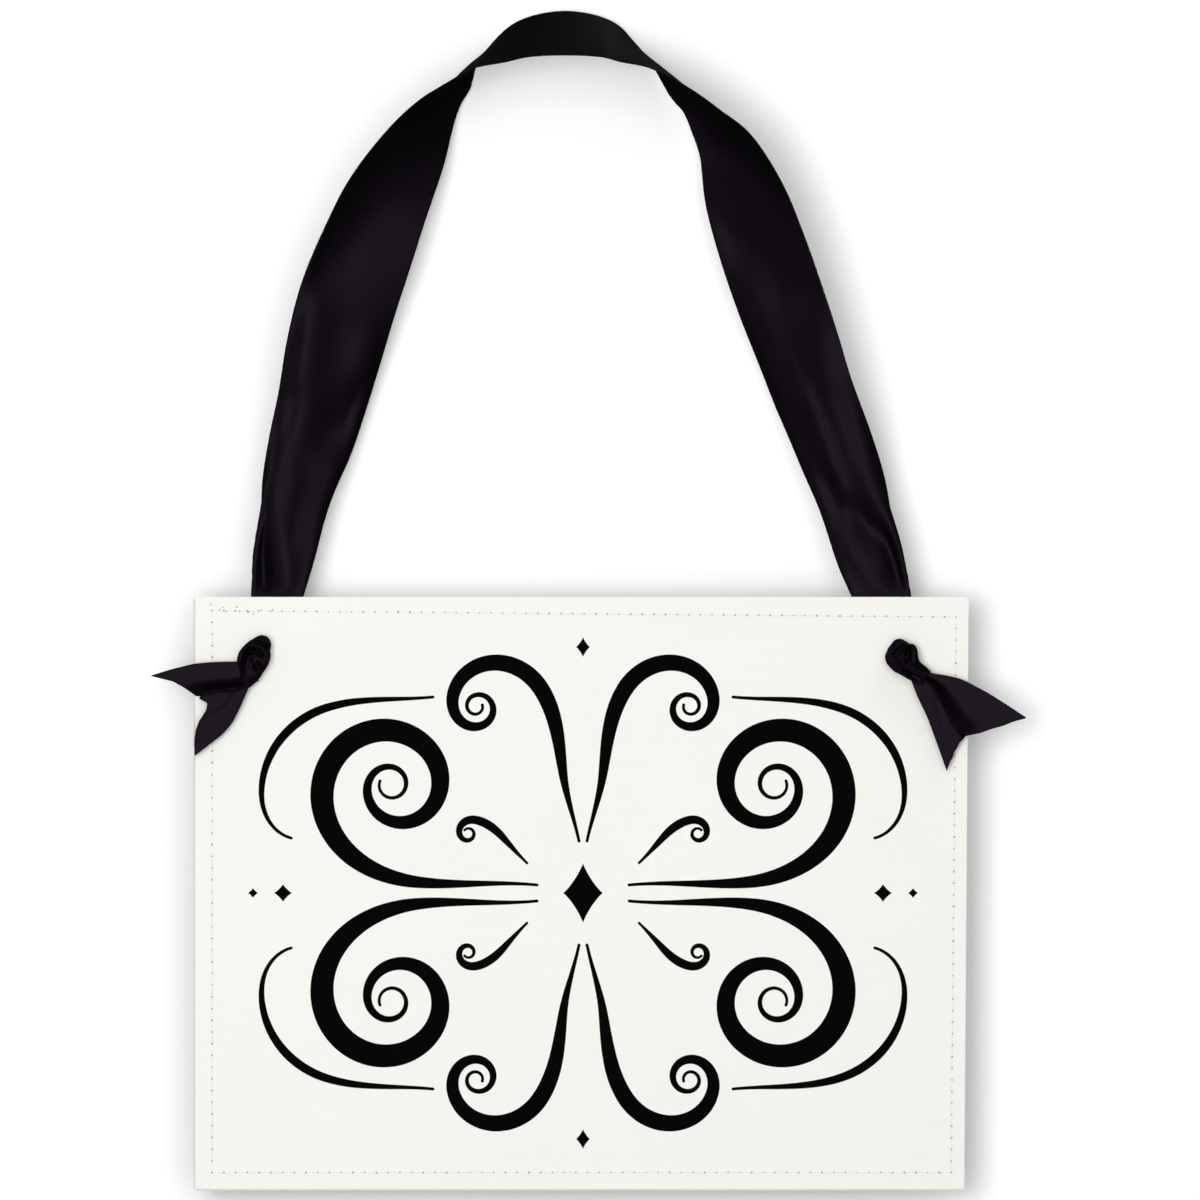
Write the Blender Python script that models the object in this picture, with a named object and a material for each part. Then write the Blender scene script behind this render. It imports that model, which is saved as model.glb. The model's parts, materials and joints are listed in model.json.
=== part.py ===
"""Party sign: two cards sewn together round the edge, hung from one satin ribbon.

The ribbon comes up from two punched holes behind the board, bows into an arch that
twists over at its crown, and is knotted in front of the board with two loose
swallowtail ends. Metres, +Z up, front towards -Y. The origin is the underside of the
ribbon's crown, where a hook or a peg takes the sign.
"""

import math

import bmesh
import bpy
from mathutils import Matrix, Vector

MM = 0.001

# Board
CARD_WIDTH = 279.4 * MM
CARD_HEIGHT = 214.0 * MM
CARD_CENTRE_X = 5.8 * MM
CORNER_RADIUS = 1.2 * MM
TRIM_SLANT = 1.6 * MM
FRONT_CARD_THICKNESS = 0.6 * MM
BACKING_CARD_THICKNESS = 1.2 * MM
HOLE_DIAMETER = 6.0 * MM
HOLE_INSET = 25.0 * MM
HOLE_DROP = 18.0 * MM

# Seam round the board
# How far its corners lie in from the side edge and from the top or bottom edge,
# clockwise from the top left: the seam wanders a little, as a hand-guided one does
SEAM_INSETS = (
    (6.7 * MM, 4.9 * MM),
    (4.5 * MM, 6.1 * MM),
    (4.7 * MM, 6.5 * MM),
    (6.7 * MM, 6.5 * MM),
)
STITCH_PITCH = 4.2 * MM
THREAD_WIDTH = 0.55 * MM
THREAD_HEIGHT = 0.4 * MM
# Share of the thread's section left where it dips into a needle hole
HOLE_DIP = 0.3

# Ribbon
RIBBON_WIDTH = 38.0 * MM
RIBBON_THICKNESS = 0.6 * MM
FOLD_RADIUS = 1.5 * MM
LOOP_HEIGHT = 208.0 * MM
BUNCH_RIDGE_DEPTH = 0.5 * MM
NECK_CLEARANCE = 0.7 * MM
# How round the gathered ribbon's section is at the board's top edge, 1 for an oval
FOOT_ROUNDNESS = 0.5

# Space between faces that touch
GAP = 0.3 * MM
# Space between stretches of the ribbon that bend away from each other
BEND_GAP = 0.5 * MM

# Knots
KNOT_WIDTH = 11.6 * MM
KNOT_HEIGHT = 16.2 * MM
KNOT_DEPTH = 9.4 * MM
KNOT_STRAND_RADIUS = 2.4 * MM
KNOT_VOXEL = 0.5 * MM
KNOT_FACES_KEPT = 0.18
# Furthest that the knot's path reaches from its middle, for a knot of size 1
KNOT_REACH = 2.6

# Loose ends
TAIL_ROOT_WIDTH = 9.6 * MM
TAIL_PLEAT_HEIGHT = 2.4 * MM
TAIL_PLEATS = 2
TAIL_ROOT_LIFT = 4.2 * MM
TAIL_TIP_LIFT = 1.6 * MM
TAIL_CUP = 4.0 * MM

# Counts
CORNER_STEPS = 3
HOLE_SIDES = 24
STEPS_PER_ROW = 2
BUNCH_SIDES = 24
BUNCH_RINGS = 6
BUNCH_RIDGES = 6
KNOT_POINTS = 36
STRAND_SIDES = 10
TAIL_COLUMNS = 12
TAIL_ROWS = 6

# The arch of each side, from the board's top edge to the crown:
# share of the loop's height, share of the way in from the hole to the crown,
# twist in degrees, share of the width that lies between the two folds, how far the
# edges beyond the folds turn back and how far they bow forward, in degrees.
LEFT_ARCH = (
    (0.000, 0.046, 0.0, 0.51, 165.0, 0.0),
    (0.081, 0.075, 10.0, 0.61, 140.0, 0.0),
    (0.168, 0.118, 15.0, 0.62, 84.0, 0.0),
    (0.254, 0.170, 18.0, 0.62, 66.0, 0.0),
    (0.340, 0.214, 20.0, 0.62, 50.0, 0.0),
    (0.427, 0.250, 22.0, 0.62, 30.0, 0.0),
    (0.513, 0.291, 25.0, 0.61, 12.0, 0.0),
    (0.600, 0.344, 30.0, 0.58, 0.0, 4.0),
    (0.688, 0.397, 38.0, 0.55, 0.0, 10.0),
    (0.778, 0.467, 53.0, 0.52, 0.0, 20.0),
    (0.838, 0.523, 65.0, 0.50, 0.0, 28.0),
    (0.878, 0.576, 79.0, 0.50, 0.0, 32.0),
    (0.905, 0.628, 87.0, 0.50, 0.0, 33.0),
    (0.921, 0.662, 90.0, 0.50, 0.0, 33.0),
    (0.942, 0.705, 97.0, 0.50, 0.0, 33.0),
    (0.966, 0.785, 109.0, 0.50, 0.0, 33.0),
    (0.989, 0.876, 118.0, 0.50, 0.0, 33.0),
)
RIGHT_ARCH = (
    (0.000, 0.052, 0.0, 0.58, 165.0, 0.0),
    (0.081, 0.103, 9.0, 0.65, 130.0, 0.0),
    (0.168, 0.161, 18.0, 0.63, 78.0, 0.0),
    (0.254, 0.222, 26.0, 0.63, 72.0, 0.0),
    (0.340, 0.273, 32.0, 0.63, 55.0, 0.0),
    (0.427, 0.321, 36.0, 0.63, 40.0, 0.0),
    (0.513, 0.366, 38.0, 0.61, 20.0, 0.0),
    (0.600, 0.411, 40.0, 0.58, 6.0, 4.0),
    (0.688, 0.456, 44.5, 0.55, 0.0, 10.0),
    (0.773, 0.500, 58.0, 0.52, 0.0, 20.0),
    (0.830, 0.548, 70.0, 0.50, 0.0, 27.0),
    (0.866, 0.599, 80.0, 0.50, 0.0, 28.0),
    (0.893, 0.644, 86.0, 0.50, 0.0, 29.0),
    (0.913, 0.680, 90.0, 0.50, 0.0, 30.0),
    (0.942, 0.743, 97.0, 0.50, 0.0, 31.0),
    (0.966, 0.815, 109.0, 0.50, 0.0, 33.0),
    (0.989, 0.889, 118.0, 0.50, 0.0, 33.0),
)
CROWN = (1.000, 1.000, 120.0, 0.50, 0.0, 33.0)

# Each knot: how far its middle lies from its hole, to the right and up, and how far
# it is turned clockwise, in degrees. Its single lobe hangs down where that is 0.
KNOTS = {
    "left": {"offset": (-3.0 * MM, -4.0 * MM), "turned": 202.0},
    "right": {"offset": (0.8 * MM, -3.8 * MM), "turned": -14.0},
}

# Each loose end: how far its root lies from the hole, to the right and up, the
# distance from the root to the upper tip, the notch and the lower tip, the heading
# of the notch and of the upper tip in degrees, anticlockwise from the right as the
# viewer sees it, the share of the ribbon's width that lies open between the tips, and
# how far the upper and the lower edge bow outwards.
TAILS = {
    "left": {
        "root": (-7.8 * MM, -10.1 * MM),
        "lengths": (33.0 * MM, 15.9 * MM, 34.0 * MM),
        "notch_heading": 219.5,
        "upper_heading": 180.5,
        "open_share": 0.87,
        "bows": (1.8 * MM, 3.2 * MM),
    },
    "right": {
        "root": (7.6 * MM, -11.0 * MM),
        "lengths": (41.0 * MM, 27.0 * MM, 35.0 * MM),
        "notch_heading": 308.0,
        "upper_heading": 338.5,
        "open_share": 0.92,
        "bows": (2.2 * MM, -0.8 * MM),
    },
}

# Size at which the pivots show in the viewport
PIVOT_DISPLAY_SIZE = 20.0 * MM

# Colours
IVORY = (0.89, 0.88, 0.83, 1.0)
KRAFT = (0.80, 0.78, 0.72, 1.0)
THREAD_IVORY = (0.84, 0.80, 0.70, 1.0)
NEAR_BLACK = (0.012, 0.009, 0.013, 1.0)

# Places worked out from the sizes
FRONT_Y = -0.5 * (FRONT_CARD_THICKNESS + GAP + BACKING_CARD_THICKNESS)
BACKING_FRONT_Y = FRONT_Y + FRONT_CARD_THICKNESS + GAP
BACK_Y = BACKING_FRONT_Y + BACKING_CARD_THICKNESS
TOP_Z = -LOOP_HEIGHT
BOTTOM_Z = TOP_Z - CARD_HEIGHT
HOLE_Z = TOP_Z - HOLE_DROP
LEFT_X = CARD_CENTRE_X - CARD_WIDTH / 2
RIGHT_X = CARD_CENTRE_X + CARD_WIDTH / 2
HOLE_X = {"left": LEFT_X + HOLE_INSET, "right": RIGHT_X - HOLE_INSET}
NECK_RADIUS = HOLE_DIAMETER / 2 - NECK_CLEARANCE
# The ribbon lies over the seam's thread on the board's back
RIBBON_FRONT_Y = BACK_Y + GAP + THREAD_HEIGHT + GAP
FOOT_Y = RIBBON_FRONT_Y + RIBBON_THICKNESS / 2
SWING_Y = RIBBON_FRONT_Y + NECK_RADIUS


def clear_scene():
    """Remove every object, so that the sign stands alone."""
    for obj in list(bpy.data.objects):
        bpy.data.objects.remove(obj, do_unlink=True)


def make_material(name, color, roughness):
    """Return a plain Principled material."""
    material = bpy.data.materials.new(name)
    material.use_nodes = True
    shader = material.node_tree.nodes["Principled BSDF"]
    shader.inputs["Base Color"].default_value = color
    shader.inputs["Roughness"].default_value = roughness
    shader.inputs["Metallic"].default_value = 0.0
    return material


def make_pivot(name, place, parent=None):
    """Add an empty on a joint's axis, which what moves about it hangs from."""
    pivot = bpy.data.objects.new(name, None)
    bpy.context.collection.objects.link(pivot)
    pivot.empty_display_size = PIVOT_DISPLAY_SIZE
    pivot.parent = parent
    pivot.location = Vector(place) - (origin_of(parent) if parent else Vector())
    return pivot


def origin_of(pivot):
    """Return where a pivot lies, following its parents."""
    place = Vector(pivot.location)
    while pivot.parent:
        pivot = pivot.parent
        place += Vector(pivot.location)
    return place


def add_object(name, mesh, material, pivot=None):
    """Link a mesh as an object, with its origin on the pivot that carries it."""
    obj = bpy.data.objects.new(name, mesh)
    bpy.context.collection.objects.link(obj)
    mesh.materials.append(material)
    if pivot:
        mesh.transform(Matrix.Translation(-origin_of(pivot)))
        obj.parent = pivot
    return obj


def mesh_from(name, points, faces):
    """Return a mesh of these points and faces, with its faces turned outwards."""
    shape = bmesh.new()
    verts = [shape.verts.new(point) for point in points]
    for face in faces:
        shape.faces.new([verts[index] for index in face])
    bmesh.ops.recalc_face_normals(shape, faces=shape.faces)
    mesh = bpy.data.meshes.new(name)
    shape.to_mesh(mesh)
    shape.free()
    return mesh


def shade_round(mesh, angle=40.0):
    """Shade a mesh smooth, apart from edges sharper than the angle."""
    mesh.shade_smooth()
    mesh.set_sharp_from_angle(angle=math.radians(angle))


def smooth_path(rows, steps):
    """Read a smooth curve through rows of numbers, a few steps from each to the next."""
    ends = [[2 * a - b for a, b in zip(rows[0], rows[1])]]
    ends.append([2 * a - b for a, b in zip(rows[-1], rows[-2])])
    padded = [ends[0], *rows, ends[1]]
    path = []
    for i in range(1, len(rows)):
        before, start, end, after = padded[i - 1 : i + 3]
        for step in range(steps):
            t = step / steps
            path.append(
                [
                    0.5 * (2 * b + (c - a) * t + (2 * a - 5 * b + 4 * c - d) * t**2
                           + (3 * b - a - 3 * c + d) * t**3)
                    for a, b, c, d in zip(before, start, end, after)
                ]
            )
    path.append(list(rows[-1]))
    return path


# Board


def board_corners():
    """Return the board's four corners as (x, z), clockwise from the top left."""
    return (
        Vector((LEFT_X, TOP_Z)),
        Vector((RIGHT_X, TOP_Z)),
        Vector((RIGHT_X - TRIM_SLANT, BOTTOM_Z)),
        Vector((LEFT_X, BOTTOM_Z)),
    )


def seam_corners():
    """Return the four corners of the seam, each in from the board's own corner."""
    inwards = ((1, -1), (-1, -1), (-1, 1), (1, 1))
    return [
        corner + Vector((aside * right, down * up))
        for corner, (aside, down), (right, up) in zip(board_corners(), SEAM_INSETS, inwards)
    ]


def board_outline():
    """Return the board's outline with its slightly rounded corners."""
    corners = board_corners()
    outline = []
    for i, corner in enumerate(corners):
        back = (corners[i - 1] - corner).normalized() * CORNER_RADIUS
        ahead = (corners[(i + 1) % 4] - corner).normalized() * CORNER_RADIUS
        centre = corner + back + ahead
        for step in range(CORNER_STEPS + 1):
            turn = math.radians(90.0 * step / CORNER_STEPS)
            outline.append(centre - ahead * math.cos(turn) - back * math.sin(turn))
    return outline


def add_hole_cutter(side):
    """Add the punch that cuts one hole through both cards."""
    shape = bmesh.new()
    bmesh.ops.create_cone(
        shape,
        cap_ends=True,
        segments=HOLE_SIDES,
        radius1=HOLE_DIAMETER / 2,
        radius2=HOLE_DIAMETER / 2,
        depth=HOLE_DIAMETER,
    )
    mesh = bpy.data.meshes.new(f"{side}_hole_cutter")
    shape.to_mesh(mesh)
    shape.free()
    cutter = bpy.data.objects.new(f"{side}_hole_cutter", mesh)
    bpy.context.collection.objects.link(cutter)
    cutter.location = (HOLE_X[side], 0.0, HOLE_Z)
    cutter.rotation_euler = (math.radians(90.0), 0.0, 0.0)
    cutter.hide_render = True
    cutter.display_type = "WIRE"
    return cutter


def add_card(name, front_y, thickness, material, pivot, cutters):
    """Add one card: the outline extruded back by its thickness, then punched."""
    shape = bmesh.new()
    verts = [shape.verts.new((x, front_y, z)) for x, z in board_outline()]
    face = shape.faces.new(verts)
    grown = bmesh.ops.extrude_face_region(shape, geom=[face])
    moved = [item for item in grown["geom"] if isinstance(item, bmesh.types.BMVert)]
    bmesh.ops.translate(shape, verts=moved, vec=(0.0, thickness, 0.0))
    bmesh.ops.recalc_face_normals(shape, faces=shape.faces)
    mesh = bpy.data.meshes.new(name)
    shape.to_mesh(mesh)
    shape.free()
    card = add_object(name, mesh, material, pivot)
    for cutter in cutters:
        punch = card.modifiers.new(cutter.name, "BOOLEAN")
        punch.operation = "DIFFERENCE"
        punch.object = cutter
    return card


def add_seam(name, card_y, outward, material, pivot):
    """Add one thread, which runs round the board in stitches and dips into each needle hole."""
    corners = seam_corners()
    points = []
    for i, corner in enumerate(corners):
        run = corners[(i + 1) % 4] - corner
        half_stitches = 2 * round(run.length / STITCH_PITCH)
        across = Vector((-run.y, run.x)).normalized() * THREAD_WIDTH / 2
        corner_mitre = across + Vector((-across.y, across.x))
        for step in range(half_stitches):
            place = corner + run * step / half_stitches
            size = 1.0 if step % 2 else HOLE_DIP
            half_thread = (across if step else corner_mitre) * size
            for side, height in ((-1, 0.0), (0, THREAD_HEIGHT * size), (1, 0.0)):
                foot = place + half_thread * side
                points.append((foot.x, card_y + outward * (GAP + height), foot.y))
    faces = []
    for i in range(0, len(points), 3):
        for side in range(3):
            ahead = (i + 3) % len(points)
            turn = (side + 1) % 3
            faces.append((i + side, i + turn, ahead + turn, ahead + side))
    return add_object(name, mesh_from(name, points, faces), material, pivot)


# Ribbon


def arch_stations():
    """Return the arch from the left foot over the crown to the right foot.

    Each station is a place, the twist, the face, the fold and the bow, and how
    level the ribbon's section lies: 1 at the feet, which meet the board's top edge.
    """
    sides = []
    for side, rows in (("left", LEFT_ARCH), ("right", RIGHT_ARCH)):
        line = []
        for rise, inward, twist, face, fold, bow in (*rows, CROWN):
            x = HOLE_X[side] * (1.0 - inward)
            y = FOOT_Y * (1.0 - rise) ** 2
            z = TOP_Z + BEND_GAP / 2 + rise * (LOOP_HEIGHT - BEND_GAP / 2)
            level = max(0.0, 1.0 - rise / rows[1][0])
            line.append((x, y, z, twist, face, fold, bow, level))
        sides.append(line)
    left, right = sides
    return smooth_path(left + right[-2::-1], STEPS_PER_ROW)


def folded_section(face, fold, bow):
    """Return the section of the ribbon as (across, behind) from its back edge to its front edge.

    Both edges turn back beyond the folds, and the whole width bows the other way.
    """
    half_width = RIBBON_WIDTH / 2
    half_face = face * half_width
    half = [(0.0, 0.0)]
    places = (half_face - FOLD_RADIUS, half_face, half_face + FOLD_RADIUS, half_width)
    before = 0.0
    for bends, place in enumerate(places):
        middle = (before + place) / 2
        turn = math.radians(fold * bends / 3 - bow * middle / half_width)
        across, behind = half[-1]
        step = place - before
        half.append((across + step * math.cos(turn), behind + step * math.sin(turn)))
        before = place
    return [(-across, behind) for across, behind in half[:0:-1]] + half


def add_ribbon_loop(material):
    """Add the arch of ribbon between the two feet at the board's top edge."""
    stations = arch_stations()
    lift = Vector((0.0, 0.0, RIBBON_THICKNESS / 2))
    points = []
    for i, (x, y, z, twist, face, fold, bow, level) in enumerate(stations):
        ahead = stations[min(i + 1, len(stations) - 1)]
        behind = stations[max(i - 1, 0)]
        tangent = Vector((ahead[0] - behind[0], 0.0, ahead[2] - behind[2])).normalized()
        upright = Vector((0.0, 0.0, 1.0 if i < len(stations) / 2 else -1.0))
        tangent = tangent.lerp(upright, level).normalized()
        outward = Vector((-tangent.z, 0.0, tangent.x))
        angle = math.radians(twist)
        width_axis = outward * math.cos(angle) + Vector((0.0, -math.sin(angle), 0.0))
        back_axis = width_axis.cross(tangent)
        centre = Vector((x, y, z)) + lift
        for across, depth in folded_section(face, fold, bow):
            points.append(centre + width_axis * across + back_axis * depth)
    columns = len(points) // len(stations)
    faces = []
    for row in range(len(stations) - 1):
        for column in range(columns - 1):
            first = row * columns + column
            faces.append((first, first + 1, first + columns + 1, first + columns))
    mesh = mesh_from("ribbon_loop", points, faces)
    mesh.shade_smooth()
    loop = add_object("ribbon_loop", mesh, material)
    thicken(loop)
    return loop


def ring_faces(rings, sides):
    """Return the faces of a closed skin over rings of points, with both ends capped."""
    faces = []
    for ring in range(rings - 1):
        for side in range(sides):
            low = ring * sides + side
            turn = ring * sides + (side + 1) % sides
            faces.append((low, turn, turn + sides, low + sides))
    last = (rings - 1) * sides
    faces.append(tuple(range(sides)))
    faces.append(tuple(range(last, last + sides)))
    return faces


def add_ribbon_end(side, rows, material, pivot):
    """Add the stretch behind the board, gathered from the flat fold down to a round bunch."""
    _, inward, _, face, fold, bow = rows[0]
    section = folded_section(face, fold, bow)
    half_width = max(across for across, _ in section) + RIBBON_THICKNESS / 2
    half_depth = (max(depth for _, depth in section) + RIBBON_THICKNESS) / 2
    foot_x = HOLE_X[side] * (1.0 - inward)
    high = TOP_Z - BEND_GAP / 2
    low = HOLE_Z + NECK_RADIUS + BEND_GAP
    points = []
    for ring in range(BUNCH_RINGS + 1):
        down = ring / BUNCH_RINGS
        ease = down * down * (3.0 - 2.0 * down)
        x = foot_x + (HOLE_X[side] - foot_x) * down
        reach = half_width + (NECK_RADIUS - half_width) * ease
        depth = half_depth + (NECK_RADIUS - half_depth) * ease
        roundness = FOOT_ROUNDNESS + (1.0 - FOOT_ROUNDNESS) * ease
        for step in range(BUNCH_SIDES):
            turn = math.tau * step / BUNCH_SIDES
            dip = 1.0 - BUNCH_RIDGE_DEPTH / NECK_RADIUS * ease * math.sin(
                BUNCH_RIDGES * turn / 2
            ) ** 2
            across = math.copysign(abs(math.cos(turn)) ** roundness, math.cos(turn))
            back = math.copysign(abs(math.sin(turn)) ** roundness, math.sin(turn))
            y = RIBBON_FRONT_Y + depth + depth * back * dip
            points.append((x + reach * across * dip, y, high + (low - high) * down))
    name = f"{side}_ribbon_end"
    mesh = mesh_from(name, points, ring_faces(BUNCH_RINGS + 1, BUNCH_SIDES))
    shade_round(mesh)
    return add_object(name, mesh, material, pivot)


# Knots


def add_strand(shape, path, wide, high, closed=False):
    """Add a strand of gathered ribbon along a path, as an oval tube."""
    rings = []
    for i, place in enumerate(path):
        ahead = path[(i + 1) % len(path)] if closed else path[min(i + 1, len(path) - 1)]
        behind = path[i - 1] if closed else path[max(i - 1, 0)]
        tangent = (ahead - behind).normalized()
        along_y = abs(tangent.y) > abs(tangent.x) + abs(tangent.z)
        guide = Vector((1.0, 0.0, 0.0)) if along_y else Vector((0.0, 1.0, 0.0))
        across = tangent.cross(guide).normalized()
        upward = across.cross(tangent)
        ring = []
        for step in range(STRAND_SIDES):
            turn = math.tau * step / STRAND_SIDES
            spot = place + across * wide * math.cos(turn) + upward * high * math.sin(turn)
            ring.append(shape.verts.new(spot))
        rings.append(ring)
    pairs = list(zip(rings, rings[1:]))
    if closed:
        pairs.append((rings[-1], rings[0]))
    else:
        shape.faces.new(rings[0])
        shape.faces.new(rings[-1])
    for low, high_ring in pairs:
        for step in range(STRAND_SIDES):
            turn = (step + 1) % STRAND_SIDES
            shape.faces.new((low[step], low[turn], high_ring[turn], high_ring[step]))


def knot_turns(centre, turned):
    """Return the path of the knot's turns, which pass over and under each other three times."""
    tilt = Matrix.Rotation(math.radians(turned), 3, "Y")
    wide = (KNOT_WIDTH / 2 - KNOT_STRAND_RADIUS) / KNOT_REACH
    high = (KNOT_HEIGHT / 2 - KNOT_STRAND_RADIUS) / KNOT_REACH
    deep = KNOT_DEPTH / 2 - KNOT_STRAND_RADIUS
    path = []
    for step in range(KNOT_POINTS):
        turn = math.tau * step / KNOT_POINTS
        sideways = wide * (math.sin(turn) + 2.0 * math.sin(2.0 * turn))
        upward = high * (math.cos(turn) - 2.0 * math.cos(2.0 * turn))
        place = Vector((sideways, deep * math.sin(3.0 * turn), upward))
        path.append(centre + tilt @ place)
    return path


def tail_root(side):
    """Return where the loose end leaves the knot, and the direction it leaves in."""
    tail = TAILS[side]
    right, up = tail["root"]
    root = Vector((HOLE_X[side] + right, FRONT_Y - TAIL_ROOT_LIFT, HOLE_Z + up))
    heading = math.radians(tail["notch_heading"])
    return root, Vector((math.cos(heading), 0.0, math.sin(heading)))


def add_knot(side, material, pivot):
    """Add the knot, with its neck through the hole and the collar that the loose end leaves by."""
    right, up = KNOTS[side]["offset"]
    hole = Vector((HOLE_X[side], FRONT_Y, HOLE_Z))
    centre = hole + Vector((right, -GAP - KNOT_DEPTH / 2, up))
    shape = bmesh.new()
    turns = knot_turns(centre, KNOTS[side]["turned"])
    add_strand(shape, turns, KNOT_STRAND_RADIUS, KNOT_STRAND_RADIUS, closed=True)
    neck = [centre, hole + Vector((0.0, -NECK_RADIUS, 0.0)), Vector((hole.x, SWING_Y, hole.z))]
    add_strand(shape, neck, NECK_RADIUS, NECK_RADIUS)
    bmesh.ops.create_uvsphere(
        shape,
        u_segments=STRAND_SIDES,
        v_segments=STRAND_SIDES,
        radius=NECK_RADIUS,
        matrix=Matrix.Translation(neck[-1]),
    )
    root, heading = tail_root(side)
    collar = [centre, root - heading * TAIL_PLEAT_HEIGHT, root - heading * BEND_GAP / 2]
    add_strand(shape, collar, TAIL_ROOT_WIDTH / 2, (TAIL_PLEAT_HEIGHT + RIBBON_THICKNESS) / 2)
    bmesh.ops.recalc_face_normals(shape, faces=shape.faces)
    mesh = bpy.data.meshes.new(f"{side}_knot")
    shape.to_mesh(mesh)
    shape.free()
    knot = add_object(f"{side}_knot", mesh, material, pivot)
    fuse = knot.modifiers.new("Fuse", "REMESH")
    fuse.mode = "VOXEL"
    fuse.voxel_size = KNOT_VOXEL
    fuse.use_smooth_shade = True
    thin = knot.modifiers.new("Fewer faces", "DECIMATE")
    thin.ratio = KNOT_FACES_KEPT
    return knot


def add_tail(side, material, pivot):
    """Add one loose end: pleated at the knot, open at its swallowtail cut."""
    tail = TAILS[side]
    root, notch_way = tail_root(side)
    upper, notch, lower = tail["lengths"]
    open_width = RIBBON_WIDTH * tail["open_share"]
    spread = math.acos((upper**2 + lower**2 - open_width**2) / (2.0 * upper * lower))
    turn = spread if side == "left" else -spread
    upper_way = math.radians(tail["upper_heading"])
    lower_way = upper_way + turn
    tips = {}
    for half, length, way in ((1, upper, upper_way), (-1, lower, lower_way)):
        tips[half] = root + length * Vector((math.cos(way), 0.0, math.sin(way)))
    cut = root + notch_way * notch
    across = Vector((-notch_way.z, 0.0, notch_way.x)) * (TAIL_ROOT_WIDTH / 2)
    if (tips[1] - tips[-1]).dot(across) < 0.0:
        across = -across
    start = root + notch_way * BEND_GAP / 2
    points = []
    for row in range(TAIL_ROWS + 1):
        out = row / TAIL_ROWS
        for column in range(TAIL_COLUMNS + 1):
            share = 1.0 - 2.0 * column / TAIL_COLUMNS
            tip = tips[1 if share > 0.0 else -1]
            end = cut.lerp(tip, abs(share))
            spot = (start + across * share).lerp(end, out)
            bow = tail["bows"][0 if share > 0.0 else 1] * share * 4.0 * out * (1.0 - out)
            spot += across.normalized() * bow
            pleat = math.cos(math.tau * TAIL_PLEATS * share / 2) * TAIL_PLEAT_HEIGHT / 2
            lift = (TAIL_TIP_LIFT - TAIL_ROOT_LIFT) * out + TAIL_CUP * out * share**2
            spot.y -= lift + pleat * (1.0 - out) ** 2
            points.append(spot)
    columns = TAIL_COLUMNS + 1
    faces = []
    for row in range(TAIL_ROWS):
        for column in range(TAIL_COLUMNS):
            first = row * columns + column
            faces.append((first, first + 1, first + columns + 1, first + columns))
    name = f"{side}_tail"
    mesh = mesh_from(name, points, faces)
    mesh.shade_smooth()
    loose = add_object(name, mesh, material, pivot)
    thicken(loose)
    return loose


def thicken(obj):
    """Give a sheet of ribbon its thickness, half to each side."""
    solid = obj.modifiers.new("Thickness", "SOLIDIFY")
    solid.thickness = RIBBON_THICKNESS
    solid.offset = 0.0
    solid.use_even_offset = True


def main():
    """Build the sign."""
    clear_scene()
    ivory = make_material("ivory_card", IVORY, 0.7)
    backing = make_material("backing_card", KRAFT, 0.8)
    thread = make_material("pale_thread", THREAD_IVORY, 0.6)
    satin = make_material("satin_ribbon", NEAR_BLACK, 0.35)
    fold = make_pivot("edge_fold_axis", (0.0, BACK_Y, TOP_Z))
    swing = make_pivot("board_swing_axis", (0.0, SWING_Y, HOLE_Z), fold)
    punches = [add_hole_cutter(side) for side in HOLE_X]
    add_card("front_card", FRONT_Y, FRONT_CARD_THICKNESS, ivory, swing, punches)
    add_card("backing_card", BACKING_FRONT_Y, BACKING_CARD_THICKNESS, backing, swing, punches)
    add_seam("needle_thread", FRONT_Y, -1.0, thread, swing)
    add_seam("bobbin_thread", BACK_Y, 1.0, thread, swing)
    add_ribbon_loop(satin)
    for side, rows in (("left", LEFT_ARCH), ("right", RIGHT_ARCH)):
        add_ribbon_end(side, rows, satin, fold)
        add_knot(side, satin, swing)
        root, _ = tail_root(side)
        hinge = root - Vector((0.0, (TAIL_PLEAT_HEIGHT + RIBBON_THICKNESS) / 2, 0.0))
        lift = make_pivot(f"{side}_tail_lift_axis", hinge, swing)
        add_tail(side, satin, lift)


main()
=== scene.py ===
"""Looks of a party sign: two cards sewn together and hung from one satin ribbon."""
import json
import math
import random

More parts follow.
